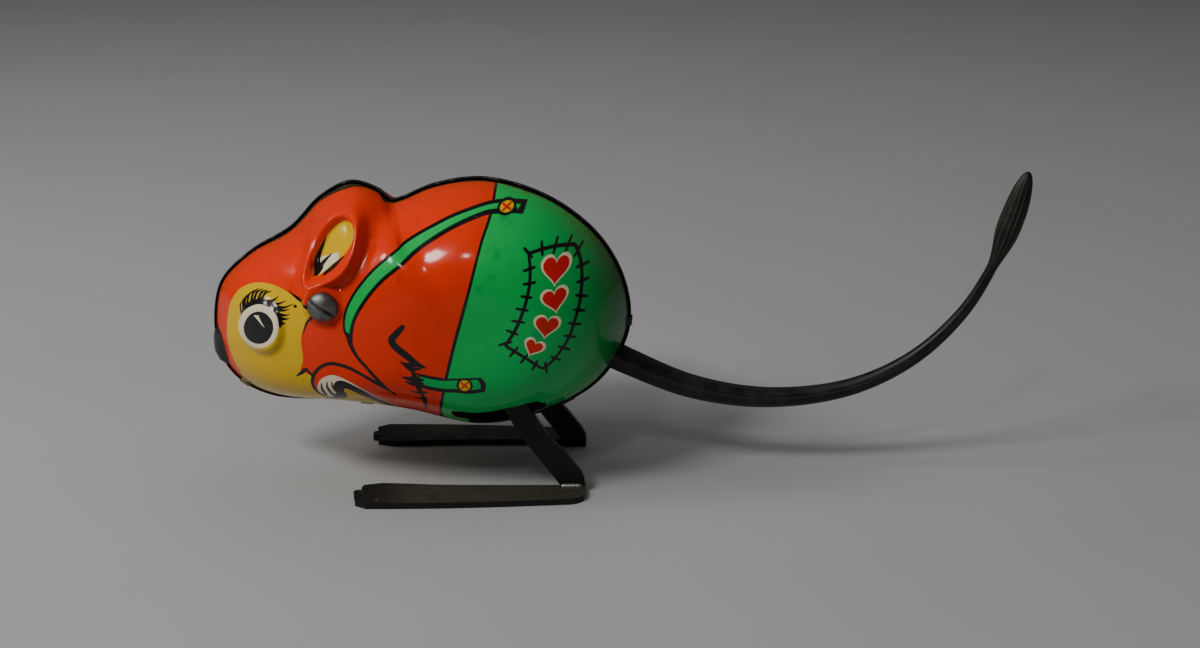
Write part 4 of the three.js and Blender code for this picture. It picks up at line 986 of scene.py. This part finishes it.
def make_tail():
    """A drooping rubber tail with a combed tuft at its tip."""
    tuft_shares = 1 - 0.185 * np.linspace(1, 0, 130) ** 1.7
    share = np.concatenate([np.linspace(0, TUFT_START, 260, endpoint=False), tuft_shares])
    line = resample(smooth(TAIL_POINTS, 0.05), 3000)
    along = np.gradient(line, axis=0)
    along /= np.linalg.norm(along, axis=1)[:, None]
    at = share * (len(line) - 1)
    middle = np.stack([np.interp(at, np.arange(len(line)), line[:, k]) for k in (0, 1)], 1)
    forward = np.stack([np.interp(at, np.arange(len(line)), along[:, k]) for k in (0, 1)], 1)
    u, a = share[:, None], turns(96)[None, :]
    tuft = step(TUFT_START - 0.01, TUFT_START + 0.06, u) * (1 - step(0.985, 1.0, u))
    hair = 0.5 + 0.3 * np.cos(13 * a + 3 * np.sin(a + 9 * u))
    hair = hair + 0.2 * np.cos(29 * a - 14 * u + 2 * np.cos(2 * a))
    streak = 0.5 + 0.3 * np.cos(7 * a + 2.2 * np.sin(5 * u)) + 0.2 * np.cos(17 * a + 1 + 6 * u)
    root = 1 - step(0.0, 0.07, u)
    cut = 0.105 * hair * tuft + 0.035 * streak * (1 - tuft) * (1 - root)
    radius = tail_radius(share)[:, None] * (1 - cut)
    x = middle[:, :1] - forward[:, 1:] * radius * np.sin(a)
    z = middle[:, 1:] + forward[:, :1] * radius * np.sin(a)
    y = 0.85 * radius * np.cos(a)
    solid = Solid()
    points = np.stack([x, y, z], -1)
    solid.grid([[tuple(p) for p in ring] for ring in points], close_v=True)
    obj = solid.finish("rubber_tail", [TAIL_RUBBER], "body", "tail_rubber", "tail")
    # Where the ridges stand highest. The tail's paint makes them lighter: partly scuffs, and partly painted
    # highlight.
    ridge_scuff_and_highlight = step(0.62, 0.95, 1 - hair) * tuft + 0.35 * step(0.6, 0.9, 1 - streak) * (1 - tuft)
    add_attribute(obj, "ridge_scuff_and_highlight", ridge_scuff_and_highlight.ravel())


make_tail()


# ------------------------------------------------------------------ legs

STRIP = [(-22.6, 25.7), (-17.2, 16.5), (-14.2, 11), (-11.5, 7.4), (-7.1, 1.2), (-7.1, 0), (-2.7, 0),
    (-2.7, 1.2), (-2.85, 2.6), (-3.4, 3.9), (-6.1, 7.5), (-9.2, 11), (-12.6, 16.5), (-16.4, 27.3)]


LEG_FACE, LEG_THICKNESS = 9, 1.2
LEG_HEAD, LEG_BORE = 3.2, 1.25  # radii round the shaft


def foot_outline():
    """Seen from above, for the leg on the +y side."""
    heel, toe, inner, heel_outer, toe_inner, toe_outer = -2.7, -44.3, 9.8, 15.4, 9, 17
    corner = bezier((heel, heel_outer - 3), (heel, heel_outer - 1), (heel - 1.4, heel_outer),
        (heel - 4, heel_outer), 9)
    front = bezier((heel - 4, heel_outer), (heel - 18, toe_outer - 0.4), (toe + 14, toe_outer),
        (toe + 2.8, toe_outer), 24)
    toes = [(toe + 0.7, toe_outer - 1.2), (toe + 0.55, toe_outer - 1.8), (toe + 0.8, toe_outer - 2.4),
        (toe + 2.4, toe_outer - 2.9), (toe + 0.2, toe_outer - 3.4), (toe, toe_outer - 4.2),
        (toe, toe_inner + 3.4), (toe + 0.25, toe_inner + 2.8), (toe + 2.6, toe_inner + 2.4),
        (toe + 1.2, toe_inner + 1.9), (toe + 1.4, toe_inner + 0.8), (toe + 4.6, toe_inner)]
    back = bezier((toe + 4.6, toe_inner), (toe + 10, toe_inner + 0.2), (toe + 14, inner), (toe + 22, inner),
        16)
    return [(heel, 9), *map(tuple, corner), *map(tuple, front[1:]), *toes, *map(tuple, back[1:]),
        (heel - 4.4, inner), (heel - 4.4, 9)]


def make_leg(name, side):
    """A strip down from the shaft, folded forward into a flat foot with forked toes."""
    solid = Solid()
    x, _, z = LEG_AXIS
    head = [(x + LEG_HEAD * math.cos(t),
        z + LEG_HEAD * math.sin(t)) for t in np.linspace(0.25, math.pi + 0.25, 16)]
    bore = [(x + LEG_BORE * math.cos(t), z + LEG_BORE * math.sin(t)) for t in turns(20)]
    solid.plate([STRIP + head, bore], lambda u, v, w: (u, side * (LEG_FACE + w), v), LEG_THICKNESS, 0.14)
    solid.plate([foot_outline()], lambda u, v, w: (u, side * v, w), LEG_THICKNESS, 0.17)
    # The bend where the strip turns into the foot, rubbed bright.
    rows = []
    for x in np.linspace(-7.0, -3.3, 14):
        reach = 0.42 * min(1, 6 * (x + 7.05), 6 * (-3.25 - x)) * (1 + 0.2 * math.sin(9 * x))
        rows.append([
            (x, side * (10.2 + reach * (1 - math.sin(t))), LEG_THICKNESS + reach * (1 - math.cos(t)))
            for t in np.linspace(0, math.pi / 2, 6)
        ])
    solid.grid(rows, material=1, flip=side > 0)
    solid.finish(name + "_folded_leg", [LEG_STEEL, WORN_STEEL], "legs", "leg_steel", name + "_leg")


for leg_name, leg_side in (("left", -1), ("right", 1)):
    make_leg(leg_name, leg_side)


# ------------------------------------------------------------------ screw, nut, nose, bush and key


def screw_head(solid, side, radius=2.6, height=1.8, slot_depth=1.25, turn=math.radians(33)):
    """A domed head on the shell, with a slot across it if slot_depth isn't nought."""
    half = 0.42
    lines = [-1, -0.985, -0.93, -0.83, -0.7, -0.55, -0.4, -0.26, -half / radius - 0.012, -half / radius]
    lines += [-half / radius + 0.004, half / radius - 0.004] if slot_depth else []
    lines += [-v for v in lines[9::-1]]
    rows = []
    for i, line in enumerate(lines):
        across = line * radius
        in_slot = slot_depth and abs(across) < half - 0.005
        reach = math.sqrt(max(0, radius**2 - across**2))
        row = []
        for t in np.sin(np.linspace(-math.pi / 2, math.pi / 2, 25)):
            along = t * reach
            dome = height * math.sqrt(max(0, 1 - (across**2 + along**2) / (radius + 0.03) ** 2))
            out = min(dome, height - slot_depth) if in_slot else dome
            x = SCREW[0] + along * math.cos(turn) + across * math.sin(turn)
            z = SCREW[1] - along * math.sin(turn) + across * math.cos(turn)
            row.append((x, side * (SCREW_SEAT + 0.1 + out), z))
        rows.append(row)
    solid.grid(rows, flip=side > 0)
    solid.turned([(radius, side * (SCREW_SEAT + 0.42)), (radius + 0.02, side * (SCREW_SEAT + 0.25)),
                  (radius - 0.1, side * (SCREW_SEAT + 0.1)), (1.5, side * (SCREW_SEAT + 0.1))], *SCREW, 64)


screw = Solid()
screw_head(screw, -1)
screw.turned([(1.5, -SCREW_SEAT), (1.5, SCREW_SEAT)], *SCREW, 32)
screw.finish("clamping_screw", [SCREW_STEEL], "body", "steel", "shell_screw")
nut = Solid()
screw_head(nut, 1, slot_depth=0)
nut.finish("clamping_nut", [SCREW_STEEL], "body", "steel", "shell_nut")


NOSE_AT, NOSE_RADII = (-67.95, 25.4), (2.3, 1.7, 4.5)


def make_nose():
    """A slightly lumpy bead on the snout."""
    solid = Solid()
    rows = []
    for v in np.linspace(-math.pi / 2, math.pi / 2, 49):
        row = []
        for u in turns(72):
            dent = 1 - 0.02 * math.sin(5 * v + 2 * u) - 0.012 * math.sin(11 * v - 3 * u)
            way = (math.cos(v) * math.cos(u), math.cos(v) * math.sin(u), math.sin(v))
            x, y, z = (r * w * dent for r, w in zip(NOSE_RADII, way))
            row.append((NOSE_AT[0] + x, y, NOSE_AT[1] + z))
        rows.append(row)
    solid.grid(rows, close_v=True)
    solid.finish("snout_bead", [NOSE_BLACK], "body", "nose_black", "nose")


make_nose()

bush = Solid()
bush.turned([(1.7, 16.3), (2.6, 16.3), (2.6, 17.85), (3.5, 17.9), (3.6, 18.0), (3.6, 18.75), (3.45, 18.9),
    (1.75, 18.9), (1.7, 18.8), (1.7, 16.3)], *KEY_AXIS)
bush.finish("turned_bush", [BRASS], "body", "brass", "arbor_bush")


def make_key():
    """Two pierced wings on a hub, standing at a tilt round the arbor."""
    solid = Solid()
    tilt = math.radians(35)
    c, s = math.cos(tilt), math.sin(tilt)

    def place(u, y, w):
        w -= 0.55
        return (KEY_AXIS[0] + u * c + w * s, y, KEY_AXIS[1] - u * s + w * c)

    half = np.vstack([bezier((-2, 21.5), (-5, 20), (-9.2, 21), (-9.2, 25.5)), bezier((-9.2, 25.5),
        (-9.2, 30.5), (-3, 31), (-1.4, 26.8))[1:]])
    outline = [tuple(p) for p in half] + [(-p[0], p[1]) for p in half[::-1]]
    holes = [[(side * 6 + 1.5 * math.cos(t),
        25.4 + 1.9 * math.sin(t)) for t in turns(28)] for side in (-1, 1)]
    solid.plate([outline, *holes], place, 1.1, 0.28)
    solid.turned([(1.3, 20), (2.3, 20), (2.5, 20.2), (2.5, 25.1), (2.2, 25.45), (1.4, 25.5), (0.05, 25.45)],
        *KEY_AXIS)
    solid.finish("butterfly_key", [KEY_STEEL], "winding", "steel", "winding_key")


make_key()


# ------------------------------------------------------------------ tabs that lock the two halves together


# A tab's section over the bead, as (distance in from the edge, y).
TAB_SECTION = [(1.5, 0.9), (0.8, 0.95), (0.1, 0.72), (-0.16, 0.5), (-0.24, 0.2), (-0.24, -0.2), (-0.16, -0.5),
               (0.1, -0.75)]


def make_tab(name, x, z, length, reach):
    """A tongue of tin from the right half, folded over the bead onto the left."""
    at = int(np.argmin(np.hypot(edge_line[:, 0] - x, edge_line[:, 1] - z)))
    point, inward = edge_line[at], edge_normals[at]
    along = np.array([inward[1], -inward[0]])
    rows = []
    for share in np.linspace(-1, 1, 9):
        rounded = math.sqrt(max(0.05, 1 - max(0, abs(share) - 0.6) ** 2 / 0.17))
        shift = along * share * length / 2
        row = []
        for inset, y in TAB_SECTION:
            spot = point + shift + inward * inset
            row.append((spot[0], y, spot[1]))
        for inset in (0.5, 0.5 + 0.3 * reach, 0.5 + 0.6 * reach, 0.5 + 0.75 * reach + 0.45 * reach * rounded):
            spot = point + shift + inward * inset
            row.append((spot[0], -float(depth(*spot)) - 0.16 - (0.12 if inset < 0.6 else 0), spot[1]))
        spot = point + shift + inward * (0.52 + 0.78 * reach + 0.47 * reach * rounded)
        row.append((spot[0], -float(depth(*spot)) + 0.1, spot[1]))
        rows.append(row)
    solid = Solid()
    solid.grid(rows)
    solid.finish(name, [RIM], "body", "printed_tin")


TABS = [(5.5, 29.6, 1.7, 0.25), (-65.0, 17.4, 2.0, 0.8), (-43, 13.2, 2.2, 1), (-6, 13.6, 2.4, 1)]
for number, tab in enumerate(TABS, 1):
    make_tab(f"seam_tab_{number}", *tab)


# ------------------------------------------------------------------ the motor's own pieces

FINISHES = {"steel": STEEL, "spring_steel": SPRING_STEEL, "brass": BRASS}
for part in frame["record"]["subparts"]:
    node = frame["nodes"][part["node"]]
    if not node.hide_render:
        node.data.materials.clear()
        node.data.materials.append(FINISHES[part["material_slot"]])


# ------------------------------------------------------------------ floor

floor_paint = Paint("floor", 0.75)
grey = floor_paint.mix(floor_paint.noise(0.02, 3), (0.34, 0.34, 0.345), (0.37, 0.37, 0.375))
floor = link("floor", bpy.data.meshes.new("floor"))
floor.data.from_pydata([(-3, -2, 0), (3, -2, 0), (3, 4, 0), (-3, 4, 0)], [], [(0, 1, 2, 3)])
floor.data.materials.append(floor_paint.finish(grey))
